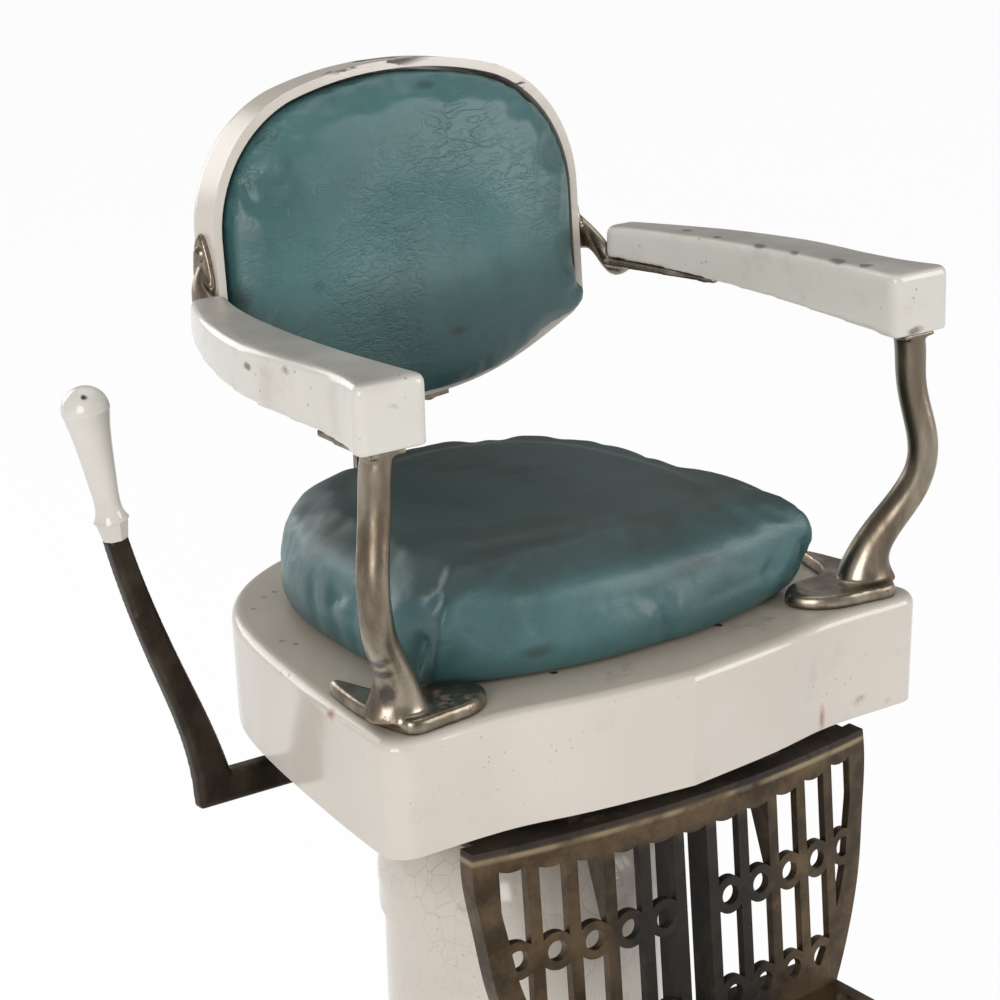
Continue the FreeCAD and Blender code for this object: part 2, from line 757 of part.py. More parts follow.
# Seat frame: two beams on the hub, with pads up to the skirt and lugs down to the leg rest
frame_blocks = [column(value("frame_hub_radius"), value("hub_top"), value("frame_top"))]
frame_bottom = value("hub_top")
frame_top = value("frame_top")
skirt_under = seat - value("skirt_wall")
frame_front = front + value("frame_front")
frame_back = front + value("frame_back")
beam_width = value("frame_beam_width")
frame_depth = value("frame_depth")
lug_half_width = value("lug_half_width")
lug_half_depth = value("lug_half_depth")
frame_screw_seats = []
for side in (-1, 1):
    spread = side * value("frame_spread")
    start = Vector(spread - beam_width / 2, flange_middle - lug_half_depth, frame_bottom)
    frame_blocks.append(Part.makeBox(beam_width, frame_back - start.y, frame_depth, start))
    for along in (frame_front + value("2 * frame_pad_radius"), frame_back - value("frame_pad_radius")):
        frame_blocks.append(column(value("frame_pad_radius"), frame_bottom, skirt_under, spread, along))
        frame_screw_seats.append((Vector(spread, along, seat), DOWN))
    lug_low = value("seat_height - panel_top")
    lug_start = Vector(side * gusset_reach - lug_half_width, flange_middle - lug_half_depth, lug_low)
    frame_blocks.append(Part.makeBox(2 * lug_half_width, 2 * lug_half_depth, frame_top - lug_low, lug_start))
rear_start = Vector(-value("frame_spread"), frame_back - beam_width, frame_bottom)
frame_blocks.append(Part.makeBox(value("2 * frame_spread"), beam_width, frame_depth, rear_start))
frame = frame_blocks[0].fuse(frame_blocks[1:]).removeSplitter()
frame = frame.cut(column(value("frame_window_radius"), frame_bottom, frame_top))
frame = bored(frame, hub_bolt_seats, bolt_hole, value("hub_flange_depth + frame_depth"))
frame = bored(frame, legrest_bolt_seats, bolt_hole, value("panel_wall + frame_depth + bolt_gap"))
frame = bored(frame, frame_screw_seats, screw_hole, value("skirt_wall + screw_length + bolt_gap"))
solid("seat_frame", frame)

# Skirt outline: a bowed front that sweeps back near rounded corners, then a D shape behind
half_width = value("skirt_half_width")
length = value("skirt_length")
bow = value("skirt_bow")
corner = value("skirt_corner")
front_shares = ((0, -1), (0.2, -0.81), (0.42, -0.53), (0.56, -0.28), (0.7, -0.185), (0.83, -0.185))
side_shares = ((0.975, 0.17), (0.93, 0.36), (0.87, 0.56), (0.8, 0.7), (0.66, 0.83), (0.42, 0.936))


def skirt_outline(inset, level):
    # The skirt's outline, drawn in by inset, at a level.
    wide = half_width - inset
    fore = [(wide * across, front + inset + bow * back, level) for across, back in front_shares]
    turn = corner - inset / 2
    knuckle = (wide, front + inset + turn + bow * front_shares[-1][1], level)
    run = length - 2 * inset
    side = [(wide * across, front + inset + run * back, level) for across, back in side_shares]
    rear = (0, front + length - inset, level)
    right_front = spline(fore)
    last = Vector(*fore[-1])
    heel = Vector(wide - turn, last.y, level)
    bend = Vector(wide - turn * (1 - diagonal_share), last.y + turn * (1 - diagonal_share), level)
    right = [
        right_front,
        Part.makeLine(last, heel),
        Part.Arc(heel, bend, Vector(*knuckle)).toShape(),
        spline([knuckle] + side + [rear]),
    ]
    return Part.Wire(Part.__sortEdges__(right + [mirrored(edge) for edge in right]))


draft = value("skirt_draft")
skirt = Part.makeLoft([skirt_outline(0, seat), skirt_outline(draft, value("skirt_bottom"))], True, False)
top_edges = [edge for edge in skirt.Edges if edge.BoundBox.ZMin > seat - tiny]
skirt = skirt.makeFillet(value("skirt_edge"), top_edges)
wall = value("skirt_wall")
hollow = Part.makeLoft([
    skirt_outline(wall, skirt_under),
    skirt_outline(wall + draft, value("skirt_bottom")),
    skirt_outline(wall + draft, value("skirt_bottom - overrun")),
], True, True)
skirt = skirt.cut(hollow)

# Cushion and board outlines, with sharp front corners and a round back
cushion_half = value("cushion_half_width")
cushion_front = front + value("cushion_front")
cushion_length = value("cushion_length")
sweep = value("cushion_sweep")
cushion_shares = ((0.96, 0), (1.0, 0.16), (0.985, 0.4), (0.89, 0.68), (0.64, 0.89), (0.32, 0.975), (0, 1))
quarter_shares = (0.52, 0.24)


def cushion_outline(inset, level, sweep_share=1.0):
    # The cushion's outline at a level, drawn in by inset, its corners swept back by a share of the sweep.
    wide = cushion_half - inset
    back = sweep * sweep_share
    start_corner = Vector(wide * cushion_shares[0][0], cushion_front + back + inset, level)
    nose = Vector(0, cushion_front + inset, level)
    quarter = Vector(wide * quarter_shares[0], cushion_front + back * quarter_shares[1] + inset, level)
    run = cushion_length - back - 2 * inset
    side = [(wide * across, start_corner.y + run * back, level) for across, back in cushion_shares]
    right = [Part.Arc(nose, quarter, start_corner).toShape(), spline(side)]
    return Part.Wire(Part.__sortEdges__(right + [mirrored(edge) for edge in right]))


board_top = value("seat_height + board_thickness")
board_screw_seats = []
board_screw_shares = ((0.62, 0.25), (0.62, 0.8), (-0.62, 0.25), (-0.62, 0.8))
for across, along in board_screw_shares:
    place = Vector(cushion_half * across, cushion_front + cushion_length * along, skirt_under)
    board_screw_seats.append((place, UP))
board = Part.Face(cushion_outline(value("board_inset"), seat)).extrude(Vector(0, 0, value("board_thickness")))
solid("seat_board", bored(board, board_screw_seats, screw_hole, screw_length + value("bolt_gap")))

cushion_low = value("seat_height + cushion_seam")
cushion_rise = value("cushion_height - cushion_seam")
# Each layer: its share of the rise, its inset in shares of the half width, and its share of the sweep
crown_shares = (
    (0, 0.03, 1.0), (0.25, -0.015, 0.8), (0.5, -0.025, 0.55), (0.72, -0.01, 0.4),
    (0.87, 0.04, 0.35), (0.96, 0.13, 0.35), (1.0, 0.36, 0.35),
)
cushion = Part.makeLoft([cushion_outline(cushion_half * inset, cushion_low + cushion_rise * up, swept)
                         for up, inset, swept in crown_shares], True, False)
recess = Part.Face(cushion_outline(value("board_inset - soft_gap"), seat))
recess = recess.extrude(Vector(0, 0, value("board_thickness + soft_gap")))
solid("seat_cushion", cushion.cut(recess))

# Front posts: an S-curved leg that flows into a foot shaped to the skirt's corner
post_reach = value("post_top_reach")
bulge = value("post_bulge")
foot_shift = value("post_foot_shift")
setback = value("post_setback")
foot_setback = value("post_foot_setback")
half_wide = value("post_half_width")
half_deep = value("post_half_depth")
foot_wide = value("post_foot_half_width")
foot_deep = value("post_foot_half_depth")
foot_thickness = value("foot_thickness")
arm_under = value("seat_height + arm_height - arm_front_depth")
arm_length = value("arm_length")
arm_start = front + value("arm_start")
under_slope = value("(arm_front_depth - arm_back_depth - arm_droop) / arm_length")


def underside(y):
    # Level of the armrests' sloping underside.
    return arm_under + under_slope * (y - arm_start)


# Each station: its share of the height, of the bulge or the foot's shift, of the setback, and of the spread
post_shares = (
    (1.0, 0.0, 0.0, 0.0), (0.85, 0.3, 0.02, 0.0), (0.7, 0.65, -0.12, 0.0), (0.54, 1.0, -0.3, 0.0),
    (0.42, 0.7, -0.15, 0.02), (0.3, -0.08, 0.3, 0.08), (0.18, -0.71, 0.75, 0.2), (0.09, -0.96, 1.0, 0.5),
    (0.0, -1.0, 1.0, 1.0),
)
root_share = 0.6
post_top = underside(front + setback) - value("plate_thickness")
post_foot = seat + foot_thickness * root_share
centres = []
for up, out, back, spread in post_shares:
    x = post_reach + (bulge if out > 0 else foot_shift) * out
    y = front + setback + foot_setback * back
    centres.append(Vector(x, y, post_foot + (post_top - post_foot) * up))
sections = []
for index, (up, out, back, spread) in enumerate(post_shares):
    before = centres[max(index - 1, 0)]
    after = centres[min(index + 1, len(centres) - 1)]
    way = (after - before).normalize()
    way = (way * (1 - spread) + DOWN * spread).normalize()
    wide = half_wide + (foot_wide - half_wide) * spread
    deep = half_deep + (foot_deep - half_deep) * spread
    sections.append(oval(centres[index], way, Vector(0, 1, 0), wide, deep))
leg = Part.makeLoft(sections, True, False)

foot_shares = (
    (0.93, 0.04), (1.0, 0.3), (0.98, 0.7), (0.88, 1.0), (0.77, 0.75),
    (0.6, 0.52), (0.2, 0.48), (0.0, 0.3), (0.2, 0.07), (0.6, 0.0),
)
foot_middle_shares = (0.78, 0.28)
foot_layer_shares = ((1.0, 0.0), (1.0, 0.5), (0.975, 0.85), (0.93, 1.0))
foot_outer = value("foot_reach")
foot_span = value("foot_span")
foot_run = value("foot_run")
foot_start = front + value("foot_edge / 2")


def foot_place(across, back, level):
    # A place on the foot, by shares of its span and run.
    return Vector(foot_outer - foot_span * (1 - across), foot_start + foot_run * back, level)


def foot_ring(size, up):
    # The foot's outline drawn in towards its bend, at a share of the thickness.
    middle_across, middle_back = foot_middle_shares
    level = seat + foot_thickness * up
    points = [foot_place(middle_across + (across - middle_across) * size,
                         middle_back + (back - middle_back) * size, level) for across, back in foot_shares]
    return closed_curve(points)


foot = Part.makeLoft([foot_ring(size, up) for size, up in foot_layer_shares], True, True)


def strip(x, start, end, width, thickness):
    # A plate against the armrest's underside.
    corners = [Vector(0, y, underside(y) - drop) for y, drop in
               ((start, 0), (end, 0), (end, thickness), (start, thickness), (start, 0))]
    plate = Part.Face(Part.makePolygon(corners)).extrude(Vector(width, 0, 0))
    plate.translate(Vector(x - width / 2, 0, 0))
    return plate


under_way = Vector(0, -under_slope, 1).normalize()
plate_thickness = value("plate_thickness")
plate_start = front + setback - half_deep
plate_end = plate_start + value("plate_length")
post_plate = strip(post_reach, plate_start, plate_end, value("plate_width"), plate_thickness)
post = foot.fuse([leg, post_plate]).removeSplitter()
post_screw_y = plate_end - value("2 * screw_head_radius")
post_screw_seats = [(Vector(post_reach, post_screw_y, underside(post_screw_y) - plate_thickness), under_way)]
foot_screw_shares = ((0.22, 0.28), (0.86, 0.78))
foot_screw_seats = [(foot_place(across, back, skirt_under), UP) for across, back in foot_screw_shares]
foot_screw_length = value("skirt_wall") + foot_thickness * root_share
post = bored(post, foot_screw_seats, screw_hole, foot_screw_length + value("bolt_gap"))
post = bored(post, post_screw_seats, screw_hole, screw_length)
solid("post_right", mirrored(post))
solid("post_left", post)

# Skirt, drilled for the frame, the seat board, the stay's foot and the posts' feet
stay_back = front + value("stay_set_back")
stay_width = value("stay_width")
stay_thickness = value("stay_thickness")
stay_screw_x = value("stay_foot_width / 2 - 1.5 * screw_head_radius")
stay_foot_seats = [(Vector(side * stay_screw_x, stay_back, seat + stay_thickness), DOWN) for side in (-1, 1)]
skirt_holes = frame_screw_seats + board_screw_seats + foot_screw_seats
skirt_holes += [(Vector(-place.x, place.y, place.z), way) for place, way in foot_screw_seats]
skirt = bored(skirt, skirt_holes, screw_hole, wall + value("overrun"))
skirt = bored(skirt, stay_foot_seats, screw_hole, value("stay_thickness + screw_length"))
solid("skirt", skirt)

# Armrests: enamelled shells, open underneath, with bosses for their screws
arm_top = value("seat_height + arm_height")
arm_inner = value("arm_inner")
arm_width = value("arm_width")
outer_shares = ((1.0, 0), (0.81, 0.2), (0.86, 0.42), (0.7, 0.65), (0.36, 0.85), (0.0, 1))
inner_shares = ((-0.54, 1), (-0.24, 0.83), (-0.07, 0.65), (0.05, 0.35), (0.0, 0))


def top_level(y):
    # Level of the armrests' top, which droops to the back.
    return arm_top - value("arm_droop / arm_length") * (y - arm_start)


def arm_outline(inset, level):
    # Plan of the armrest, drawn in by inset.
    start = arm_start + inset
    run = arm_length - 2 * inset
    outer = [(arm_inner - inset + arm_width * across, start + run * along, level)
             for across, along in outer_shares]
    inner = [(arm_inner + inset + arm_width * across, start + run * along, level)
             for across, along in inner_shares]
    return Part.Wire([
        spline(outer),
        Part.makeLine(Vector(*outer[-1]), Vector(*inner[0])),
        spline(inner),
        Part.makeLine(Vector(*inner[-1]), Vector(*outer[0])),
    ])


def arm_side(drop):
    # Side view of the armrest from its underside up to drop below its top.
    near = arm_start - value("overrun")
    far = arm_start + arm_length + value("overrun")
    corners = [Vector(0, y, z) for y, z in (
        (near, underside(near)), (far, underside(far)), (far, top_level(far) - drop),
        (near, top_level(near) - drop), (near, underside(near)),
    )]
    return Part.Face(Part.makePolygon(corners)).extrude(Vector(2 * post_reach, 0, 0))


arm_low = arm_under - arm_length
arm_tall = Vector(0, 0, 2 * arm_length)
arm_block = Part.Face(arm_outline(0, arm_low)).extrude(arm_tall)
arm_shape = arm_block.common(arm_side(0))
upright_edges = [edge for edge in arm_shape.Edges if edge.BoundBox.XLength + edge.BoundBox.YLength < tiny]
arm_shape = arm_shape.makeFillet(value("arm_edge"), upright_edges)
top_face = max(arm_shape.Faces, key=lambda surface: surface.CenterOfMass.z)
arm_shape = arm_shape.makeFillet(value("arm_edge"), top_face.Edges)
inside = Part.Face(arm_outline(value("arm_wall"), arm_low)).extrude(arm_tall)
inside = inside.common(arm_side(value("arm_wall")))

bracket_along_shares = (0.99, 0.68)
bracket_across_shares = (-0.42, 0.22)


def bracket_place(share, drop=0.0):
    # A place at a share of the bracket plate's run, below the armrest's underside by drop.
    along = bracket_along_shares[0] * (1 - share) + bracket_along_shares[1] * share
    across = bracket_across_shares[0] * (1 - share) + bracket_across_shares[1] * share
    y = arm_start + arm_length * along
    return Vector(arm_inner + arm_width * across, y, underside(y) - drop)


bracket_screw_share = 0.86
under_screw_seats = post_screw_seats + [(bracket_place(bracket_screw_share, plate_thickness), under_way)]
bosses = [column(value("screw_head_radius"), place.z, top_level(place.y) - value("arm_wall / 2"), *place[:2])
          for place, way in under_screw_seats]
boss_shape = bosses[0].fuse(bosses[1:]).common(inside)
arm_shape = arm_shape.cut(inside).fuse(boss_shape).removeSplitter()
arm_shape = bored(arm_shape, under_screw_seats, screw_hole, screw_length)
solid("armrest_right", mirrored(arm_shape))
solid("armrest_left", arm_shape)

# Backrest outline in its own frame: X across, Z up from the seat level, front face at Y = 0
back_half = value("back_half_width")
crest_shares = (0.55, 0.28)
turn_shares = (0.68, 0.36)
hip_bend_shares = (0.973, 0.81)
base_shares = ((0.9, 0.66), (0.7, 0.4), (0.45, 0.155), (0.2, 0.03), (0, 0))
side_share = 0.45


def back_outline(inset, depth):
    # Outline of the tray, drawn in by inset, at a depth behind its front.
    wide = back_half - inset
    top = value("back_top") - inset
    bottom = value("back_bottom") + inset
    shoulder_x = value("back_shoulder_width") - inset / 2
    shoulder_z = top - value("back_shoulder_drop")
    high = value("back_shoulder_height") - inset * side_share
    hip = value("back_hip") + inset * side_share
    crest = Vector(shoulder_x * crest_shares[0], depth, top - (top - shoulder_z) * crest_shares[1])
    shoulder_end = Vector(shoulder_x, depth, shoulder_z)
    turn = Vector(shoulder_x + (wide - shoulder_x) * turn_shares[0], depth,
                  shoulder_z - (shoulder_z - high) * turn_shares[1])
    hip_bend = Vector(wide * hip_bend_shares[0], depth, bottom + (hip - bottom) * hip_bend_shares[1])
    base = [(wide * across, depth, bottom + (hip - bottom) * up) for across, up in base_shares]
    right = [
        Part.Arc(Vector(0, depth, top), crest, shoulder_end).toShape(),
        Part.Arc(shoulder_end, turn, Vector(wide, depth, high)).toShape(),
        Part.makeLine(Vector(wide, depth, high), Vector(wide, depth, hip)),
        Part.Arc(Vector(wide, depth, hip), hip_bend, Vector(*base[0])).toShape(),
        spline(base),
    ]
    return Part.Wire(Part.__sortEdges__(right + [mirrored(edge) for edge in right]))


def leaned(shape):
    # Stands the backrest's own frame up in the chair, leaning back.
    level = value("back_level")
    moved = shape.copy()
    moved.translate(Vector(0, 0, -level))
    moved.rotate(Vector(), Vector(1, 0, 0), -value("back_lean"))
    moved.translate(Vector(0, front + value("back_front"), seat + level))
    return moved


back_depth = value("back_depth")
tray = Part.Face(back_outline(0, 0)).extrude(Vector(0, back_depth, 0))
tray_edges = [edge for edge in tray.Edges if edge.BoundBox.YMin > back_depth - tiny]
tray = tray.makeFillet(value("back_edge"), tray_edges)
tray_inside = Part.Face(back_outline(value("back_rim"), -value("overrun")))
tray_inside = tray_inside.extrude(Vector(0, value("back_depth - back_wall + overrun"), 0))
flange_thickness = value("bracket_flange_thickness")
flange_start = Vector(back_half + value("soft_gap / 5"), value("bracket_setback"), value("bracket_height"))
half_spread = value("bracket_screw_spread / 2")
left_side_seats = [(flange_start + Vector(flange_thickness, 0, step), Vector(-1, 0, 0))
                   for step in (-half_spread, half_spread)]
right_side_seats = [(Vector(-place.x, place.y, place.z), way * -1) for place, way in left_side_seats]
side_screw_seats = left_side_seats + right_side_seats
board_y = value("back_depth - back_wall - back_board_thickness")
back_screw_length = value("back_depth") - board_y - value("2 * screw_radius / 3")
back_screw_x = value("back_half_width - 1.25 * bracket_screw_spread")
back_screw_seats = [(Vector(side * back_screw_x, back_depth, level), Vector(0, -1, 0))
                    for side in (-1, 1) for level in (value("back_hip"), value("back_shoulder_height"))]
stay_head_y = value("back_depth / 2")
stay_head_z = value("back_bottom - stay_thickness")
stay_head_x = value("stay_head_width / 2 - 2 * screw_head_radius")
stay_screw_seats = [(Vector(side * stay_head_x, stay_head_y, stay_head_z), UP) for side in (-1, 1)]
tray = tray.cut(tray_inside)
tray = bored(tray, side_screw_seats + back_screw_seats, screw_hole, screw_length)
tray = bored(tray, stay_screw_seats, screw_hole, value("stay_thickness + screw_length"))
solid("backrest_shell", leaned(tray))

board_outline = back_outline(value("back_rim + screw_length + soft_gap"), board_y)
back_board = Part.Face(board_outline).extrude(Vector(0, value("back_board_thickness"), 0))
back_board = bored(back_board, back_screw_seats, screw_hole, screw_length)
solid("backrest_board", leaned(back_board))

# Backrest pad: it fills the tray and crowns forward
pad_inset = value("back_rim + pad_inset")
pad_back = board_y - value("soft_gap")
lip = value("pad_lip")
crown = value("pad_crown")
pad_core = Part.makeLoft([back_outline(value("back_rim + screw_length + 2 * soft_gap"), pad_back),
                          back_outline(pad_inset, board_y / 2),
                          back_outline(pad_inset, -lip)], True, True)
pad_shares = ((0.0, 0.0), (0.25, -0.008), (0.55, 0.022), (0.8, 0.09), (0.94, 0.22), (1.0, 0.42))
pad_crown = Part.makeLoft([back_outline(pad_inset + back_half * inset, -lip - crown * out)
                           for out, inset in pad_shares], True, False)
solid("backrest_pad", leaned(pad_core.fuse(pad_crown).removeSplitter()))

bracket_screws = [leaned(slotted_screw(place, way, screw_length)) for place, way in side_screw_seats]
solid("bracket_screws", Part.makeCompound(bracket_screws))
board_screws = [leaned(slotted_screw(place, way, back_screw_length)) for place, way in back_screw_seats]
solid("back_board_screws", Part.makeCompound(board_screws))

# Rear brackets: an oval flange on the tray's side, an arm and a plate under the armrest
flange_oval = oval(flange_start, Vector(1, 0, 0), UP, value("bracket_flange_width / 2"),
                   value("bracket_flange_height / 2"))
flange = leaned(Part.Face(flange_oval).extrude(Vector(flange_thickness, 0, 0)))
root = flange.Solids[0].CenterOfMass
arm_radius = value("bracket_arm_radius")
heel_share, toe_share = 0.02, 0.2
heel = bracket_place(heel_share, plate_thickness)
toe = bracket_place(toe_share, plate_thickness / 2)
elbow = Vector((root.x * 2 + heel.x) / 3, (root.y + heel.y) / 2, root.z - arm_radius)
# Each ring: its middle, a shift in shares of the arm's radius, its way, and its half sizes in such shares
ring_shares = (
    (root, (0, 0, 0), (1, 0, 0), 1.1, 2.2),
    (root, (0.7, -0.7, -0.6), (1, -1, 0), 0.75, 1.5),
    (elbow, (0.4, 0, 0), (0.2, -1, -0.2), 0.55, 1.0),
    (heel, (0, 0, 0), (0.2, -1, -0.5), 0.7, 0.9),
    (toe, (0, 0, 0), (0.35, -1, 0), 0.9, plate_thickness / 2 / arm_radius),
)
arm_rings = []
for middle, shift, way, across, along in ring_shares:
    centre = middle + Vector(*shift) * arm_radius
    arm_rings.append(oval(centre, Vector(*way).normalize(), UP, arm_radius * across, arm_radius * along))
bracket_arm = Part.makeLoft(arm_rings, True, False)
plan_way = (bracket_place(1) - bracket_place(0)).normalize()
plan_side = Vector(plan_way.y, -plan_way.x, 0).normalize() * value("bracket_plate_width / 2")
plan_corners = [bracket_place(0) - plan_side, bracket_place(0) + plan_side, bracket_place(1) + plan_side,
                bracket_place(1) - plan_side, bracket_place(0) - plan_side]
plan_corners = [Vector(corner.x, corner.y, seat) for corner in plan_corners]
bracket_plate = Part.Face(Part.makePolygon(plan_corners)).extrude(Vector(0, 0, 2 * arm_length))
plate_zone = strip(arm_inner, front, arm_start + arm_length + arm_radius, 4 * arm_width, plate_thickness)
bracket_plate = bracket_plate.common(plate_zone)
bracket = flange.fuse([bracket_arm, bracket_plate])
bracket = bracket.cut(arm_shape)
bracket = bored(bracket, under_screw_seats[1:], screw_hole, screw_length)
head_room = value("screw_head_radius + soft_gap")
for place, way in left_side_seats:
    bracket = bracket.cut(leaned(Part.makeCylinder(screw_hole, screw_length, place, way)))
    bracket = bracket.cut(leaned(Part.makeCylinder(head_room, 2 * arm_radius, place, way * -1)))
solid("rear_bracket_right", mirrored(bracket))
solid("rear_bracket_left", bracket)

under_screws = [slotted_screw(place, way, screw_length) for place, way in under_screw_seats]
solid("armrest_screws", Part.makeCompound(under_screws + [mirrored(screw) for screw in under_screws]))

# Back stay: a foot on the skirt's back, a cranked strap and a curved head under the tray
head_ring = Part.Face(back_outline(-stay_thickness, stay_head_y - value("stay_head_depth / 2")))
head_ring = head_ring.extrude(Vector(0, value("stay_head_depth"), 0))
tray_room = Part.Face(back_outline(-value("running_gap"), 0)).extrude(Vector(0, back_depth, 0))
head_zone = Part.makeBox(value("stay_head_width"), back_depth, value("4 * stay_thickness"),
                         Vector(-value("stay_head_width / 2"), 0, value("back_bottom - 2 * stay_thickness")))
head = leaned(head_ring.cut(tray_room).common(head_zone).Solids[0])
knee_z = seat + value("stay_knee")
head_centre = head.CenterOfMass
near_shares, far_shares = (-0.5, -0.1), (0.9, 0)
strap_corners = [
    (stay_back - stay_thickness / 2, seat), (stay_back + stay_thickness / 2, seat),
    (stay_back + stay_thickness / 2, knee_z + stay_thickness / 2),
    (head_centre.y + stay_thickness * far_shares[0], head_centre.z + stay_thickness * far_shares[1]),
    (head_centre.y + stay_thickness * near_shares[0], head_centre.z + stay_thickness * near_shares[1]),
    (stay_back - stay_thickness / 2, knee_z),
    (stay_back - stay_thickness / 2, seat),
]
strap = Part.Face(Part.makePolygon([Vector(-stay_width / 2, y, z) for y, z in strap_corners]))
strap = strap.extrude(Vector(stay_width, 0, 0))
stay_foot_start = Vector(-value("stay_foot_width / 2"), stay_back - value("stay_foot_depth / 2"), seat)
stay_foot = Part.makeBox(value("stay_foot_width"), value("stay_foot_depth"), stay_thickness, stay_foot_start)
stay = head.fuse([strap, stay_foot]).removeSplitter()
stay = bored(stay, stay_foot_seats, screw_hole, value("stay_thickness"))
for place, way in stay_screw_seats:
    stay = stay.cut(leaned(Part.makeCylinder(screw_hole, value("stay_thickness + screw_length"), place, way)))
solid("back_stay", stay)
stay_screws = [leaned(slotted_screw(place, way, screw_length)) for place, way in stay_screw_seats]
stay_screws += [slotted_screw(place, way, screw_length) for place, way in stay_foot_seats]
solid("stay_screws", Part.makeCompound(stay_screws))

# Screws that hold the skirt to the frame, the seat board to the skirt, and the posts' feet
skirt_screws = [Part.makeCylinder(value("screw_radius"), wall + screw_length, place, way)
                for place, way in frame_screw_seats]
solid("skirt_screws", Part.makeCompound(skirt_screws))
seat_screws = [slotted_screw(place, way, screw_length) for place, way in board_screw_seats]
solid("board_screws", Part.makeCompound(seat_screws))
foot_screws = [slotted_screw(place, way, foot_screw_length) for place, way in foot_screw_seats]
solid("foot_screws", Part.makeCompound(foot_screws + [mirrored(screw) for screw in foot_screws]))

# Leg rest panel: a bowed casting with a flange round its edge, pierced by bars and rings
panel_half = value("panel_half_width")
panel_top = seat - value("panel_top")
panel_low = panel_top - value("panel_height")
panel_foot = value("panel_foot_half_width")
panel_tall = panel_top - panel_low
belly = value("panel_belly")
bow_radius = value("(panel_half_width ^ 2 + panel_bow ^ 2) / (2 * panel_bow)")
panel_side_shares = (
    (1.0, 0, 0.0), (0.88, 0.02, 1.0), (0.66, 0.1, 0.0), (0.45, 0.24, 0.0), (0.25, 0.5, 0.0), (0.0, 1.0, 0.0),
)


def panel_outline(inset):
    # Front view of the panel: straight top and bottom, curved sides.
    side = []
    for up, inward, out in panel_side_shares:
        x = panel_half - (panel_half - panel_foot) * inward + belly * out - inset
        side.append((x, 0, panel_low + inset + (panel_tall - 2 * inset) * up))
    edges = [spline(side), spline([(-x, y, z) for x, y, z in reversed(side)])]
    edges.append(Part.makeLine(Vector(*side[-1]), Vector(-side[-1][0], 0, side[-1][2])))
    edges.append(Part.makeLine(Vector(-side[0][0], 0, side[0][2]), Vector(*side[0])))
    return Part.Face(Part.Wire(Part.__sortEdges__(edges)))


def through(drawn):
    # A front-view face carried back through the panel and all that stands behind it.
    moved = drawn.copy()
    moved.translate(Vector(0, front - panel_half, 0))
    return moved.extrude(Vector(0, 2 * panel_half, 0))


def sheet_of(start, end):
    # The bowed layer between two depths behind the panel's front.
    axis = Vector(0, panel_face + bow_radius, panel_low - panel_half)
    tall = panel_tall + 2 * panel_half
    layer = Part.makeCylinder(bow_radius - start, tall, axis)
    layer = layer.cut(Part.makeCylinder(bow_radius - end, tall, axis))
    return layer.common(Part.makeBox(2 * panel_half + 4 * belly, bow_radius, tall,
                                     Vector(-panel_half - 2 * belly, front - panel_half, axis.z)))


def circle_face(radius, x, z):
    return Part.Face(Part.Wire(Part.makeCircle(radius, Vector(x, 0, z), Vector(0, 1, 0))))


panel_thickness = value("panel_thickness")
panel_wall = value("panel_wall")
panel = through(panel_outline(0)).common(sheet_of(0, panel_thickness))
edge_band = through(panel_outline(0)).cut(through(panel_outline(panel_wall)))
border = value("panel_border")
shelves = []
for half, low in ((panel_half, panel_top - 2 * panel_wall), (panel_foot, panel_low - panel_wall)):
    shelves.append(Part.makeBox(2 * half - border, 2 * panel_half, 3 * panel_wall,
                                Vector(border / 2 - half, front - panel_half, low)))
deep_band = edge_band.common(shelves[0].fuse(shelves[1])).common(sheet_of(0, value("panel_flange")))
panel = panel.fuse([edge_band.common(sheet_of(0, value("panel_side_depth"))), deep_band])

pitch = value("bar_pitch")
gap_half = value("(bar_pitch - bar_width) / 2")
gap_low = panel_low + value("panel_sill + panel_wall")
gap_arch = value("bar_width / 4")
window = panel_outline(border)
rows = (panel_top - value("ring_row_high"), panel_top - value("ring_row_low"))
outer_step = 5
holes = []
for step in range(-outer_step, outer_step + 1):
    x = step * pitch
    gap_top = panel_top - value("panel_head") + value("panel_head - panel_border") * (step / outer_step) ** 2
    gap = face((x - gap_half, gap_low), (x + gap_half, gap_low), (x + gap_half, gap_top),
               ((x, gap_top - gap_arch), (x - gap_half, gap_top)))
    ringed = rows if 0 < abs(step) < outer_step else rows[:1] if step else ()
    for level in ringed:
        gap = gap.cut(circle_face(value("ring_radius"), x, level))
        gap = gap.fuse(circle_face(value("ring_hole_radius"), x, level))
    holes.extend(through(piece) for piece in gap.common(window).Faces)
panel = panel.cut(holes)

# Ribs: two deep ones behind the middle bars, two tapered gussets behind the third ones
rib_half = value("rib_width / 2")
rib_zone = sheet_of(panel_thickness / 2, value("rib_depth"))
gusset_start = gusset_face + panel_thickness - value("bolt_gap")
gusset_end = gusset_face + value("panel_flange")
gusset_top = panel_top - panel_wall / 2
for side in (-1, 1):
    rib_start = Vector(side * pitch / 2 - rib_half, front - panel_half, panel_low + panel_wall / 2)
    deep_rib = Part.makeBox(2 * rib_half, 2 * panel_half, panel_tall - panel_wall, rib_start)
    panel = panel.fuse(deep_rib.common(rib_zone))
    gusset_x = side * gusset_reach - rib_half
    gusset_corners = [
        Vector(gusset_x, gusset_start, gusset_top),
        Vector(gusset_x, gusset_end, gusset_top),
        Vector(gusset_x, gusset_start, gusset_top - value("gusset_drop")),
        Vector(gusset_x, gusset_start, gusset_top),
    ]
    panel = panel.fuse(Part.Face(Part.makePolygon(gusset_corners)).extrude(Vector(2 * rib_half, 0, 0)))
panel = panel.removeSplitter()

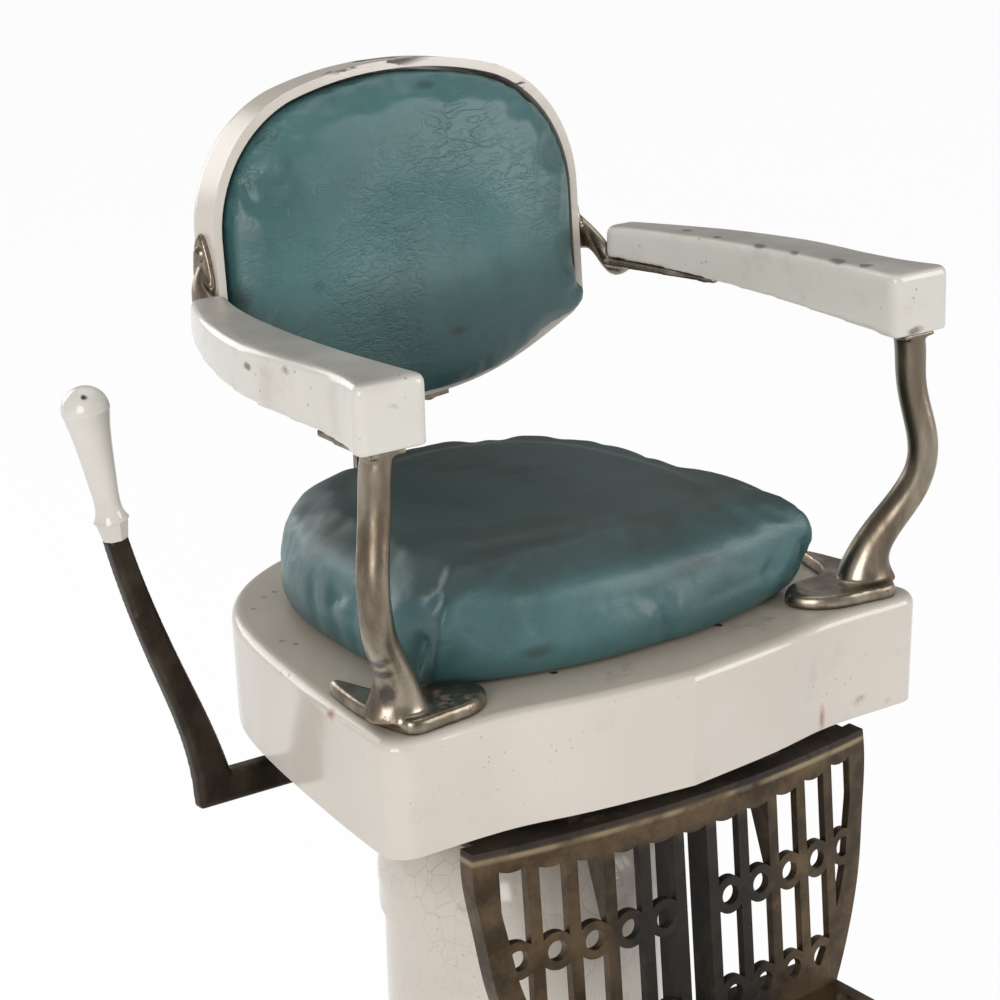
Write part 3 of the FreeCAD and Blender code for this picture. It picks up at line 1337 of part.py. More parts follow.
# The panel leans, foot forward, is flat on top, and is spot-faced under its bolts
lean_pivot = Vector(0, flange_middle + value("2 * bolt_head_radius"), panel_top)
panel.rotate(lean_pivot, Vector(1, 0, 0), -value("panel_lean"))
plate_top = min(vertex.Z for vertex in panel.Vertexes) + panel_wall / 2
panel = panel.common(Part.makeBox(4 * panel_half, 4 * panel_half, panel_top - plate_top,
                                  Vector(-2 * panel_half, front - 2 * panel_half, plate_top)))
panel = bored(panel, legrest_bolt_seats, bolt_hole, value("panel_wall + overrun"))
spot_faces = [(place, DOWN) for place, way in legrest_bolt_seats]
panel = bored(panel, spot_faces, value("bolt_head_radius + soft_gap"), value("2 * bolt_head_height"))

# Foot plate: slotted, with a rim under its edge, bolted under the panel's foot
plate_depth = value("footplate_thickness")
plate_corner = value("footplate_corner")
panel_foot_front = panel_face - math.sin(math.radians(value("panel_lean"))) * panel_tall
plate_reach = value("footplate_reach")
plate_far = panel_foot_front - plate_reach
plate_near = panel_foot_front + value("panel_flange + panel_bow")


def plate_block(inset, low, high):
    # A block with the foot plate's outline drawn in by inset, between two levels.
    block = Part.makeBox(2 * (panel_foot - inset), plate_near - plate_far - 2 * inset, high - low,
                         Vector(inset - panel_foot, plate_far + inset, low))
    corners = [edge for edge in block.Edges
               if edge.BoundBox.ZLength > (high - low) / 2 and edge.BoundBox.YMax < plate_far + plate_corner]
    return block.makeFillet(plate_corner - inset, corners)


def slot_tool(x, start, end):
    # A round-ended slot along Y, cut right through the foot plate.
    half = value("footplate_slot_width / 2")
    low = plate_top - value("2 * footplate_rim")
    near_right, near_left = Vector(x - half, start, low), Vector(x + half, start, low)
    far_right, far_left = Vector(x - half, end, low), Vector(x + half, end, low)
    outline = [
        Part.makeLine(near_right, far_right),
        Part.Arc(far_right, Vector(x, end + half, low), far_left).toShape(),
        Part.makeLine(far_left, near_left),
        Part.Arc(near_left, Vector(x, start - half, low), near_right).toShape(),
    ]
    return Part.Face(Part.Wire(outline)).extrude(Vector(0, 0, value("4 * footplate_rim")))


rim_low = plate_top - value("footplate_rim")
footplate = plate_block(0, rim_low, plate_top).cut(plate_block(panel_wall, rim_low, plate_top - plate_depth))
slot_shares = ((0.1, 0.38), (0.62, 0.9))
eye_share = 0.5
plate_openings = []
for step in range(1 - outer_step, outer_step):
    x = step * pitch
    eye_y = plate_far + plate_reach * eye_share
    plate_openings.append(column(value("ring_hole_radius"), rim_low, plate_top, x, eye_y))
    for start, end in slot_shares:
        plate_openings.append(slot_tool(x, plate_far + plate_reach * start, plate_far + plate_reach * end))
footplate = footplate.cut(plate_openings)
foot_bolt_y = panel_foot_front + value("2 * bolt_head_radius")
foot_bolt_seats = [(Vector(pitch * step, foot_bolt_y + value("panel_bow") * (pitch * step / panel_half) ** 2,
                           plate_top - plate_depth), UP) for step in (-3, -1, 1, 3)]
footplate = bored(footplate, foot_bolt_seats, bolt_hole, plate_depth)
panel = bored(panel, foot_bolt_seats, bolt_hole, plate_depth + value("panel_wall + overrun"))
solid("legrest_panel", panel)
solid("footplate", footplate)
footplate_bolts = [hex_bolt(place, way, plate_depth + panel_wall) for place, way in foot_bolt_seats]
solid("footplate_bolts", Part.makeCompound(footplate_bolts))
legrest_bolts = [hex_bolt(place, way, value("panel_wall + frame_depth")) for place, way in legrest_bolt_seats]
solid("legrest_bolts", Part.makeCompound(legrest_bolts))

doc.recompute()
for item in doc.Objects:
    if "Invalid" in item.State or "Error" in item.State:
        raise RuntimeError(f"{item.Label} is {item.State}")
for piece in pieces:
    if piece.Shape.isNull() or not piece.Shape.isValid():
        raise RuntimeError(f"{piece.Label} has no valid shape")
os.makedirs("parts", exist_ok=True)
for piece in pieces:
    piece.Shape.exportStep(f"parts/{piece.Label}.step")
    print(piece.Label, len(piece.Shape.Solids), round(piece.Shape.Volume))
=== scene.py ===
import json
import math

import bpy
from mathutils import Matrix, Vector


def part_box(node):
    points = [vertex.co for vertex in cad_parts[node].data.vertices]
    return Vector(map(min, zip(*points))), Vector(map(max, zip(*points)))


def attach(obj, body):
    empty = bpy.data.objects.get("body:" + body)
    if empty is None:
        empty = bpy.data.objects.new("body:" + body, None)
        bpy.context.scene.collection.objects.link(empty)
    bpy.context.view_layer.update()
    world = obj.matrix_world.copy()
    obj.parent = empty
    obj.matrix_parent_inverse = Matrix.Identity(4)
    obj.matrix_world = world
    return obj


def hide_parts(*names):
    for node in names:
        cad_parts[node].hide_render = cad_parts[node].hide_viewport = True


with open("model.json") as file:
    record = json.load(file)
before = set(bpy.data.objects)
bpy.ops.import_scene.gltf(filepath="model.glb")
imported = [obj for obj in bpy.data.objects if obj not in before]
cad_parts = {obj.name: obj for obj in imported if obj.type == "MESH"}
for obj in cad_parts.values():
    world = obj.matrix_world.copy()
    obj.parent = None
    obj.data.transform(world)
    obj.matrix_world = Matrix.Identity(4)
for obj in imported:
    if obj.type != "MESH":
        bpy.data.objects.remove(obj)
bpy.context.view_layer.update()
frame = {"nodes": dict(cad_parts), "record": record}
print("frame loaded,", len(frame["nodes"]), "nodes")


# Camera, lamps and floor
camera = {"place": (-1.2302, -1.7168, 1.3890), "yaw": -35.304, "pitch": -17.564, "roll": 1.5,
          "sensor": 36.0, "lens": 100.8}
lamps = [
    {"name": "frontLeft", "place": (-3.2, -2.2, 2.0), "aim": (0, 0, 0.75), "size": 2.2, "power": 95},
    {"name": "frontRight", "place": (2.6, -2.6, 1.7), "aim": (0, 0, 0.75), "size": 1.8, "power": 52},
    {"name": "overhead", "place": (0.4, 0.8, 3.4), "aim": (0, 0, 0.8), "size": 2.6, "power": 22},
    {"name": "behind", "place": (-0.8, 3.4, 1.8), "aim": (0, 0, 0.8), "size": 2.0, "power": 40},
]
studio = {"ambient": 0.38, "backdrop": 1.0, "floorSize": 60.0, "floorColor": (0.86, 0.86, 0.86),
          "floorRough": 0.9, "floorGlow": 0.96}


def setCamera():
    data = bpy.data.cameras.new("camera")
    data.sensor_width = camera["sensor"]
    data.lens = camera["lens"]
    seen = bpy.data.objects.new("camera", data)
    bpy.context.collection.objects.link(seen)
    turns = [("yaw", "Z"), ("pitch", "X"), ("roll", "Y")]
    turned = Matrix.Identity(4)
    for angle, axis in turns:
        turned = turned @ Matrix.Rotation(math.radians(camera[angle]), 4, axis)
    turned = turned @ Matrix.Rotation(math.radians(90), 4, "X")
    seen.matrix_world = Matrix.Translation(camera["place"]) @ turned
    bpy.context.scene.camera = seen


def setLamps():
    for lamp in lamps:
        data = bpy.data.lights.new(lamp["name"], "AREA")
        data.energy = lamp["power"]
        data.size = lamp["size"]
        hung = bpy.data.objects.new(lamp["name"], data)
        bpy.context.collection.objects.link(hung)
        hung.location = lamp["place"]
        shining = Vector(lamp["aim"]) - Vector(lamp["place"])
        hung.rotation_euler = shining.to_track_quat("-Z", "Y").to_euler()


millimetre = 0.001


# Shader maths: a Signal is a socket that takes + - * and friends
class Signal:
    def __init__(self, finish, socket):
        self.finish = finish
        self.socket = socket

    def calc(self, operation, *others, clamp=False):
        values = {index: other for index, other in enumerate((self,) + others)}
        return self.finish.node("Math", {"operation": operation, "use_clamp": clamp}, values)

    def __add__(self, other):
        return self.calc("ADD", other)

    __radd__ = __add__

    def __sub__(self, other):
        return self.calc("SUBTRACT", other)

    def __rsub__(self, other):
        return self.calc("MULTIPLY_ADD", -1.0, other)

    def __mul__(self, other):
        return self.calc("MULTIPLY", other)

    __rmul__ = __mul__

    def __abs__(self):
        return self.calc("ABSOLUTE")

    def atLeast(self, other):
        return self.calc("MAXIMUM", other)

    def held(self):
        # Kept between 0 and 1
        return self.calc("ADD", 0.0, clamp=True)

    def rise(self, low, high):
        # 0 below low, 1 above high, smooth between; a low above high turns it round
        values = {"Value": self, "From Min": low, "From Max": high}
        return self.finish.node("MapRange", {"interpolation_type": "SMOOTHSTEP"}, values)


class Finish:
    def __init__(self, name):
        self.material = bpy.data.materials.new(name)
        self.material.use_nodes = True
        self.tree = self.material.node_tree
        self.shader = self.tree.nodes["Principled BSDF"]
        self.place = self.node("TexCoord", {}, {}, "Object")
        self.x = self.node("SeparateXYZ", {}, {"Vector": self.place}, "X")
        self.z = self.node("SeparateXYZ", {}, {"Vector": self.place}, "Z")
        facing = self.node("TexCoord", {}, {}, "Normal")
        self.up = self.node("SeparateXYZ", {}, {"Vector": facing}, "Z")

    def node(self, kind, settings, values, output=0):
        # Any node: its settings first, then the values or links of its sockets
        made = self.tree.nodes.new("ShaderNode" + kind)
        for name, setting in settings.items():
            if name == "stops":
                ramp = made.color_ramp.elements
                while len(ramp) < len(setting):
                    ramp.new(1.0)
                for stop, (position, color) in zip(ramp, setting):
                    stop.position = position
                    stop.color = (*color, 1.0)
            else:
                setattr(made, name, setting)
        for name, value in values.items():
            if isinstance(value, Signal):
                self.tree.links.new(value.socket, made.inputs[name])
            else:
                made.inputs[name].default_value = value
        return Signal(self, made.outputs[output])

    def stretched(self, scale, turn=(0, 0, 0), shift=(0, 0, 0)):
        # Object coordinates, turned and stretched
        turned = [math.radians(angle) for angle in turn]
        values = {"Vector": self.place, "Location": shift, "Rotation": turned, "Scale": scale}
        return self.node("Mapping", {}, values)

    def cloud(self, scale, detail=4.0, rough=0.55, where=None, warp=0.0):
        values = {"Vector": where or self.place, "Scale": scale, "Detail": detail, "Roughness": rough,
                  "Distortion": warp}
        return self.node("TexNoise", {}, values, "Fac")

    def cells(self, scale, where=None, feature="DISTANCE_TO_EDGE"):
        values = {"Vector": where or self.place, "Scale": scale, "Randomness": 1.0}
        return self.node("TexVoronoi", {"feature": feature}, values, "Distance")

    def blended(self, share, under, over):
        # Colours: under where share is 0, over where it is 1
        under, over = ((*c, 1.0) if isinstance(c, tuple) else c for c in (under, over))
        return self.node("Mix", {"data_type": "RGBA"}, {0: share, 6: under, 7: over}, 2)

    def ramp(self, share, *stops):
        return self.node("ValToRGB", {"stops": stops}, {"Fac": share}, "Color")

    def blot(self, middle, size, soft=0.4, ragged=0.0, scale=60.0):
        # 1 in the middle of an ellipsoid, 0 at its edge, which noise can make ragged
        shrunk = {"Vector": self.place, "Location": [-m / s for m, s in zip(middle, size)],
                  "Scale": [1 / s for s in size]}
        moved = self.node("Mapping", {}, shrunk)
        apart = self.node("VectorMath", {"operation": "LENGTH"}, {0: moved}, "Value")
        if ragged:
            apart = apart + (self.cloud(scale, 5.0, 0.7) - 0.5) * ragged
        return apart.rise(1.0, soft)

    def blots(self, places, **settings):
        # The strongest of several blots, each (middle, size)
        shown = None
        for middle, size in places:
            one = self.blot(middle, size, **settings)
            shown = one if shown is None else shown.atLeast(one)
        return shown

    def dress(self, **values):
        names = {"color": "Base Color", "rough": "Roughness", "metal": "Metallic"}
        for name, value in values.items():
            socket = self.shader.inputs[names[name]]
            if isinstance(value, Signal):
                self.tree.links.new(value.socket, socket)
            else:
                socket.default_value = (*value, 1.0) if isinstance(value, tuple) else value

    def bump(self, height):
        # Height in millimetres
        values = {"Height": height, "Distance": millimetre, "Strength": 1.0}
        self.tree.links.new(self.node("Bump", {}, values).socket, self.shader.inputs["Normal"])


def makeFloor():
    bpy.ops.mesh.primitive_plane_add(size=studio["floorSize"])
    floor = bpy.context.object
    floor.name = "floor"
    pale = Finish("paleFloor")
    pale.dress(color=studio["floorColor"], rough=studio["floorRough"])
    # The camera and reflections see it glow nearly white, with little of the shadow
    seen = pale.node("LightPath", {}, {}, "Is Camera Ray")
    shine = pale.node("LightPath", {}, {}, "Is Glossy Ray")
    glow = pale.node("Emission", {}, {"Color": (1, 1, 1, 1), "Strength": 1.0})
    share = seen.atLeast(shine) * studio["floorGlow"]
    mixed = pale.node("MixShader", {}, {0: share, 1: Signal(pale, pale.shader.outputs[0]), 2: glow})
    pale.tree.links.new(mixed.socket, pale.tree.nodes["Material Output"].inputs["Surface"])
    floor.data.materials.append(pale.material)


def setWorld():
    world = bpy.data.worlds.new("studio")
    world.use_nodes = True
    bpy.context.scene.world = world
    tree = world.node_tree
    back = tree.nodes["Background"]
    path = tree.nodes.new("ShaderNodeLightPath")
    level = tree.nodes.new("ShaderNodeMapRange")
    level.inputs["To Min"].default_value = studio["ambient"]
    level.inputs["To Max"].default_value = studio["backdrop"]
    back.inputs["Color"].default_value = (1, 1, 1, 1)
    tree.links.new(path.outputs["Is Camera Ray"], level.inputs["Value"])
    tree.links.new(level.outputs[0], back.inputs["Strength"])


bpy.context.scene.view_settings.view_transform = "Standard"
setCamera()
setLamps()
setWorld()
makeFloor()
print("stage set")


# Finishes. A mark is its middle and its half sizes along x, y and z
enamel = {
    "cream": (0.63, 0.575, 0.510), "shade": (0.53, 0.475, 0.405), "dustAndTopShade": (0.365, 0.325, 0.262),
    "grime": (0.20, 0.16, 0.12), "rust": (0.30, 0.13, 0.055), "chip": (0.022, 0.019, 0.016), "rough": 0.14,
    "specks": [
        ((-0.146, 0.133, 0.64), (0.003, 0.004, 0.004)),
        ((-0.159, 0.128, 0.64), (0.004, 0.003, 0.004)),
        ((-0.180, 0.109, 0.64), (0.003, 0.003, 0.004)),
        ((-0.196, 0.019, 0.64), (0.003, 0.004, 0.004)),
        ((-0.201, 0.0315, 0.64), (0.004, 0.003, 0.004)),
        ((-0.2327, -0.0143, 0.6376), (0.004, 0.005, 0.005)),
        ((-0.2339, -0.0278, 0.6387), (0.005, 0.003, 0.005)),
    ],
    "runs": [
        ((0.146, -0.204, 0.560), (0.005, 0.012, 0.016)),
        ((0.187, -0.191, 0.565), (0.010, 0.015, 0.007)),
        ((0.218, -0.187, 0.556), (0.009, 0.015, 0.009)),
        ((-0.246, -0.1066, 0.634), (0.007, 0.009, 0.006)),
    ],
    "scuffs": [((0.11, -0.165, 0.64), (0.055, 0.03, 0.02)), ((-0.05, -0.185, 0.64), (0.05, 0.02, 0.02))],
    "rims": [((-0.02, 0.165, 1.052), (0.07, 0.03, 0.010)), ((0.115, 0.15, 1.025), (0.018, 0.03, 0.02))],
}


def enamelFinish(name, crazed):
    made = Finish(name)
    broad = made.cloud(5.0, 3.0)
    fine = made.cloud(60.0, 5.0)
    color = made.blended((broad.rise(0.35, 0.75) * 0.5).held(), enamel["cream"], enamel["shade"])
    # Painted shade with dust: what faces up is painted darker and duller, in soft patches
    dustAndTopShade = made.up.rise(0.55, 0.97) * (made.cloud(7.0, 4.0).rise(0.15, 0.70) * 0.35 + 0.62)
    color = made.blended(dustAndTopShade * 0.88, color, enamel["dustAndTopShade"])
    patch = made.cloud(16.0, 6.0, 0.65).rise(0.54, 0.80) * fine.rise(0.35, 0.7)
    color = made.blended(patch * 0.24, color, enamel["grime"])
    # Scattered fine specks, and the larger ones where they are
    speck = made.cells(120.0, feature="F1").rise(0.15, 0.06) * made.cloud(9.0, 2.0).rise(0.50, 0.62)
    color = made.blended(speck * 0.45, color, enamel["grime"])
    scuff = made.blots(enamel["scuffs"], soft=0.2) * made.cloud(55.0, 6.0, 0.75).rise(0.50, 0.66)
    color = made.blended(scuff * 0.55, color, enamel["grime"])
    spots = made.blots(enamel["specks"], ragged=0.8, scale=240.0)
    color = made.blended(spots * 0.85, color, enamel["grime"])
    stain = made.blots(enamel["runs"], soft=0.1, ragged=1.1, scale=110.0)
    color = made.blended(stain * 0.8, color, enamel["rust"])
    # Chips along the back's top rim
    chips = made.cloud(70.0, 3.0, 0.5, made.stretched((0.35, 1, 1.6))).rise(0.57, 0.60)
    rim = made.blots(enamel["rims"], soft=0.6) * chips
    color = made.blended(rim * 0.9, color, enamel["chip"])
    height = made.cloud(26.0, 2.0) * 0.35 - rim * 0.25 - spots * 0.1 + fine * 0.02
    if crazed:
        craze = made.cells(70.0, made.stretched((1, 1, 0.8))).rise(0.030, 0.0)
        craze = craze * made.cloud(14.0, 3.0).rise(0.40, 0.60)
        color = made.blended(craze * 0.35, color, enamel["grime"])
        height = height - craze * 0.05
    made.dress(color=color, rough=enamel["rough"] + dustAndTopShade * 0.22 + patch * 0.15 + stain * 0.4 + rim * 0.35)
    made.bump(height)
    return made.material


armEnamel = {
    "cream": (0.65, 0.625, 0.57), "shade": (0.54, 0.51, 0.45), "top": (0.25, 0.232, 0.205),
    "chip": (0.10, 0.085, 0.07), "rough": 0.13,
    "chips": [
        ((-0.245, -0.195, 0.885), (0.010, 0.010, 0.004)),
        ((-0.226, -0.195, 0.868), (0.006, 0.008, 0.004)),
        ((-0.262, -0.10, 0.893), (0.005, 0.009, 0.004)),
        ((-0.266, -0.05, 0.886), (0.005, 0.008, 0.004)),
        ((0.2175, 0.05, 0.898), (0.005, 0.007, 0.004)),
        ((0.2175, 0.01, 0.899), (0.004, 0.006, 0.004)),
        ((0.219, -0.04, 0.900), (0.006, 0.010, 0.004)),
        ((0.220, -0.08, 0.901), (0.005, 0.007, 0.004)),
        ((0.222, -0.13, 0.902), (0.006, 0.012, 0.005)),
        ((0.224, -0.16, 0.903), (0.006, 0.008, 0.004)),
        ((0.235, -0.20, 0.857), (0.012, 0.008, 0.005)),
    ],
}


def armFinish():
    made = Finish("armEnamel")
    broad = made.cloud(6.0, 3.0)
    color = made.blended((broad.rise(0.35, 0.75) * 0.5).held(), armEnamel["cream"], armEnamel["shade"])
    # Painted shade on the tops, as the light falls from the front, with wear from sleeves
    worn = made.up.rise(0.62, 0.97) * (made.cloud(12.0, 5.0, 0.6).rise(0.2, 0.7) * 0.4 + 0.6)
    # worn here is painted shade on what faces up as well as wear
    color = made.blended(worn * 0.92, color, armEnamel["top"])
    patch = made.cloud(30.0, 6.0, 0.7).rise(0.52, 0.75)
    color = made.blended(patch * 0.16, color, enamel["grime"])
    # Chips where they are, and small ones all over
    chips = made.blots(armEnamel["chips"], ragged=1.0, scale=160.0)
    small = made.cells(90.0, feature="F1").rise(0.14, 0.07) * made.cloud(14.0, 2.0).rise(0.54, 0.62)
    chips = chips.atLeast(small * 0.6)
    color = made.blended(chips * 0.8, color, armEnamel["chip"])
    made.dress(color=color, rough=armEnamel["rough"] + worn * 0.25 + chips * 0.35)
    made.bump(made.cloud(30.0, 3.0) * 0.3 + made.cloud(90.0, 4.0) * 0.05 - chips * 0.2)
    return made.material


nickel = {
    "paintedHighlight": (0.35, 0.298, 0.230), "dull": (0.165, 0.135, 0.100), "brown": (0.085, 0.056, 0.034),
    "rust": (0.135, 0.062, 0.028), "pit": (0.030, 0.022, 0.020), "rough": 0.22,
    "stripes": [((-0.260, -0.165, 0.70), (0.009, 0.02, 0.035)), ((0.245, -0.16, 0.652), (0.03, 0.05, 0.012))],
    "spots": [
        ((-0.247, -0.178, 0.700), (0.008, 0.02, 0.006)),
        ((-0.251, -0.178, 0.695), (0.007, 0.02, 0.005)),
        ((-0.244, -0.178, 0.686), (0.006, 0.02, 0.006)),
        ((-0.240, -0.178, 0.668), (0.008, 0.02, 0.012)),
    ],
}


def nickelFinish():
    made = Finish("nickel")
    # Painted highlights: upright streaks of bright and dull colour down the posts
    highlightStreak = made.cloud(30.0, 5.0, 0.6, made.stretched((1, 1, 0.16)))
    color = made.blended(highlightStreak.rise(0.36, 0.64), nickel["paintedHighlight"], nickel["dull"])
    patina = made.cloud(16.0, 6.0, 0.7, made.stretched((1, 1, 0.5))).rise(0.48, 0.68)
    color = made.blended(patina * 0.6, color, nickel["brown"])
    # Rust gathers low down, and in a patch on each post
    low = made.z.rise(0.74, 0.655)
    rust = made.cloud(44.0, 6.0, 0.72).rise(0.57, 0.68) * (low * 0.75 + 0.12)
    rust = rust.atLeast(made.blots(nickel["stripes"], soft=0.1, ragged=0.9, scale=70.0))
    color = made.blended(rust * 0.75, color, nickel["rust"])
    # Brown dirt gathers where the feet meet the enamel
    ring = made.z.rise(0.6445, 0.6405) * made.z.rise(0.60, 0.638)
    pit = made.blots(nickel["spots"], ragged=0.9, scale=130.0)
    fine = made.cells(110.0, feature="F1").rise(0.18, 0.10) * made.cloud(12.0, 2.0).rise(0.56, 0.64)
    pit = pit.atLeast(fine)
    color = made.blended((pit * 0.85).atLeast(ring * 0.8), color, nickel["pit"])
    made.dress(color=color, metal=1.0 - (rust * 0.7 + pit * 0.45 + ring * 0.5).held(),
               rough=nickel["rough"] + highlightStreak * 0.14 + patina * 0.16 + rust * 0.30)
    made.bump(made.cloud(55.0, 4.0) * 0.12 - pit * 0.12 + rust * 0.08)
    return made.material


bronzed = {"high": (0.125, 0.085, 0.048), "low": (0.050, 0.034, 0.020), "dirtAndRecessShade": (0.005, 0.004, 0.003),
           "edge": (0.36, 0.28, 0.18), "rust": (0.12, 0.058, 0.030), "rough": 0.36}


def bronzedFinish():
    made = Finish("bronzed")
    wear = made.cloud(22.0, 6.0, 0.65)
    color = made.blended(wear.rise(0.36, 0.64), bronzed["low"], bronzed["high"])
    # Painted shade: the middle bars are blacker, and so is the band under the seat
    middle = abs(made.x).rise(0.10, 0.045) * made.z.rise(0.522, 0.508)
    shadeUnderSeat = made.z.rise(0.5335, 0.5375)
    # grime holds patchy dirt together with this painted shade
    grime = (made.cloud(48.0, 6.0, 0.7).rise(0.50, 0.70) * 0.55 + middle * 0.9 + shadeUnderSeat * 0.75).held()
    color = made.blended(grime * 0.94, color, bronzed["dirtAndRecessShade"])
    # The flange's front edge is worn bright
    worn = made.z.rise(0.529, 0.5325) * made.z.rise(0.5355, 0.5335) * made.cloud(18.0, 3.0).rise(0.36, 0.58)
    color = made.blended(worn * 0.75, color, bronzed["edge"])
    rust = made.cloud(30.0, 5.0, 0.7, made.stretched((1, 1, 1), shift=(3, 5, 7))).rise(0.60, 0.70)
    color = made.blended(rust * 0.5, color, bronzed["rust"])
    made.dress(color=color, metal=0.85 - (grime * 0.65 + rust * 0.2),
               rough=bronzed["rough"] + grime * 0.28 + wear * 0.12)
    made.bump(made.cloud(70.0, 5.0) * 0.22 + made.cloud(240.0, 3.0) * 0.05)
    return made.material


iron = {"bare": (0.066, 0.050, 0.034), "dark": (0.027, 0.021, 0.015), "rust": (0.085, 0.042, 0.022),
        "rough": 0.36}


def ironFinish():
    made = Finish("iron")
    wear = made.cloud(26.0, 6.0, 0.65, made.stretched((1, 1, 0.5)))
    color = made.blended(wear.rise(0.38, 0.66), iron["dark"], iron["bare"])
    rust = made.cloud(34.0, 5.0, 0.7).rise(0.56, 0.72)
    color = made.blended(rust * 0.6, color, iron["rust"])
    made.dress(color=color, metal=0.85 - rust * 0.6, rough=iron["rough"] + wear * 0.15 + rust * 0.25)
    made.bump(made.cloud(80.0, 5.0) * 0.2 + made.cloud(300.0, 2.0) * 0.04)
    return made.material


steel = {"light": (0.52, 0.51, 0.49), "dark": (0.30, 0.28, 0.25), "rough": 0.28}
brass = {"light": (0.55, 0.40, 0.16), "dark": (0.28, 0.19, 0.08), "rough": 0.28}


def metalFinish(name, facts):
    # Turned metal under an oily film
    made = Finish(name)
    turned = made.cloud(90.0, 3.0, 0.5, made.stretched((0.3, 0.3, 3)))
    color = made.blended(turned.rise(0.3, 0.7), facts["light"], facts["dark"])
    film = made.cloud(20.0, 5.0).rise(0.5, 0.75)
    color = made.blended(film * 0.5, color, facts["dark"])
    made.dress(color=color, metal=1.0, rough=facts["rough"] + film * 0.2)
    made.bump(turned * 0.02 + made.cloud(120.0, 3.0) * 0.02)
    return made.material


porcelain = {"white": (0.64, 0.615, 0.565), "warm": (0.55, 0.51, 0.44), "dot": (0.22, 0.13, 0.07),
             "chip": (0.02, 0.018, 0.016), "rough": 0.11,
             "chips": [((-0.3535, 0.033, 0.862), (0.0035, 0.0045, 0.0028))]}


def porcelainFinish():
    made = Finish("porcelain")
    color = made.blended(made.cloud(14.0, 3.0).rise(0.4, 0.75) * 0.35, porcelain["white"], porcelain["warm"])
    # Warmer and dotted with brown near the collar
    low = made.z.rise(0.80, 0.765)
    color = made.blended(low * 0.4, color, porcelain["warm"])
    dots = made.cells(170.0, feature="F1").rise(0.16, 0.08) * made.cloud(30.0, 2.0).rise(0.52, 0.60) * low
    color = made.blended(dots * 0.8, color, porcelain["dot"])
    chip = made.blots(porcelain["chips"], ragged=0.7, scale=300.0)
    color = made.blended(chip, color, porcelain["chip"])
    made.dress(color=color, rough=porcelain["rough"] + chip * 0.4)
    made.bump(made.cloud(30.0, 2.0) * 0.2 - chip * 0.2)
    return made.material


seatVinyl = {
    "base": (0.051, 0.124, 0.128), "deep": (0.030, 0.078, 0.081), "pale": (0.095, 0.19, 0.195),
    "soilAndShade": (0.017, 0.023, 0.017), "slant": 8, "crease": 0.3, "top": True, "rough": 0.36,
    "blots": [((-0.10, -0.165, 0.665), (0.02, 0.03, 0.008)), ((0.05, -0.17, 0.70), (0.04, 0.03, 0.01))],
}
backVinyl = {
    "base": (0.060, 0.148, 0.150), "deep": (0.036, 0.096, 0.098), "pale": (0.105, 0.21, 0.21),
    "soilAndShade": (0.026, 0.034, 0.030), "slant": 26, "crease": 1.0, "top": False, "rough": 0.36,
    "blots": [
        ((0.0277, 0.1168, 0.8319), (0.012, 0.02, 0.006)),
        ((0.0194, 0.1366, 1.0312), (0.016, 0.02, 0.005)),
        ((-0.1605, 0.1297, 0.8865), (0.009, 0.02, 0.020)),
    ],
}
creaseLayers = ((62.0, 0.040, 0.55), (135.0, 0.060, 0.5))  # Noise scale, half width and share of each


def vinylFinish(name, facts):
    made = Finish(name)
    broad = made.cloud(7.0, 4.0)
    color = made.blended(broad.rise(0.32, 0.72), facts["base"], facts["deep"])
    # Drawn-out creases where two slanting noises cross their middle value
    creased = None
    for scale, width, share in creaseLayers:
        drawn = made.stretched((0.55, 1.0, 1.25), (0, facts["slant"], 0), (scale * 0.01, 0, 0))
        line = abs(made.cloud(scale, 2.0, 0.5, drawn, 0.6) - 0.5).rise(width, 0.0)
        shown = made.cloud(9.0, 3.0, 0.5, made.stretched((1, 1, 1), shift=(scale, 2, 5))).rise(0.42, 0.62)
        one = line * shown * share
        creased = one if creased is None else creased + one
    # The creases are also painted darker: painted shade in them
    color = made.blended((creased * 0.5 * facts["crease"]).held(), color, facts["deep"])
    color = made.blended((made.cloud(240.0, 3.0).rise(0.45, 0.75) * 0.14).held(), color, facts["pale"])
    soilAndShade = made.cloud(13.0, 5.0, 0.6).rise(0.50, 0.78) * 0.5
    # Painted shade darkens the seat's top, along with soil from hands and clothes; the back is darker towards
    # the bottom
    worn = made.up.rise(0.45, 0.92) * 0.85 if facts["top"] else made.z.rise(0.92, 0.83) * 0.42
    # soil here also carries the painted shade on the seat's top
    soilAndShade = (soilAndShade + worn).held()
    spots = made.cells(15.0, feature="F1").rise(0.13, 0.04) * made.cloud(40.0, 3.0).rise(0.42, 0.6)
    marks = made.blots(facts["blots"], soft=0.1, ragged=1.0, scale=90.0)
    color = made.blended((soilAndShade * 0.78 + spots * 0.4 + marks * 0.6).held(), color, facts["soilAndShade"])
    made.dress(color=color, rough=facts["rough"] + soilAndShade * 0.14 + broad * 0.08)
    grain = made.cloud(900.0, 2.0) * 0.05
    made.bump(creased * -0.45 * facts["crease"] + grain + made.cloud(34.0, 3.0) * 0.45)
    return made.material


wood = {"stops": [(0.35, (0.33, 0.21, 0.11)), (0.5, (0.45, 0.31, 0.17)), (0.65, (0.28, 0.17, 0.09))],
        "rough": 0.65}


def woodFinish():
    made = Finish("wood")
    rings = made.cloud(40.0, 4.0, 0.6, made.stretched((1, 0.1, 1)))
    made.dress(color=made.ramp(rings, *wood["stops"]), rough=wood["rough"])
    made.bump(rings * 0.15)
    return made.material


leather = {"tan": (0.11, 0.055, 0.028), "oiled": (0.045, 0.024, 0.014), "rough": 0.6}


def leatherFinish():
    made = Finish("leather")
    color = made.blended(made.cloud(60.0, 4.0).rise(0.3, 0.7), leather["tan"], leather["oiled"])
    made.dress(color=color, rough=leather["rough"])
    made.bump(made.cells(500.0) * 0.2)
    return made.material


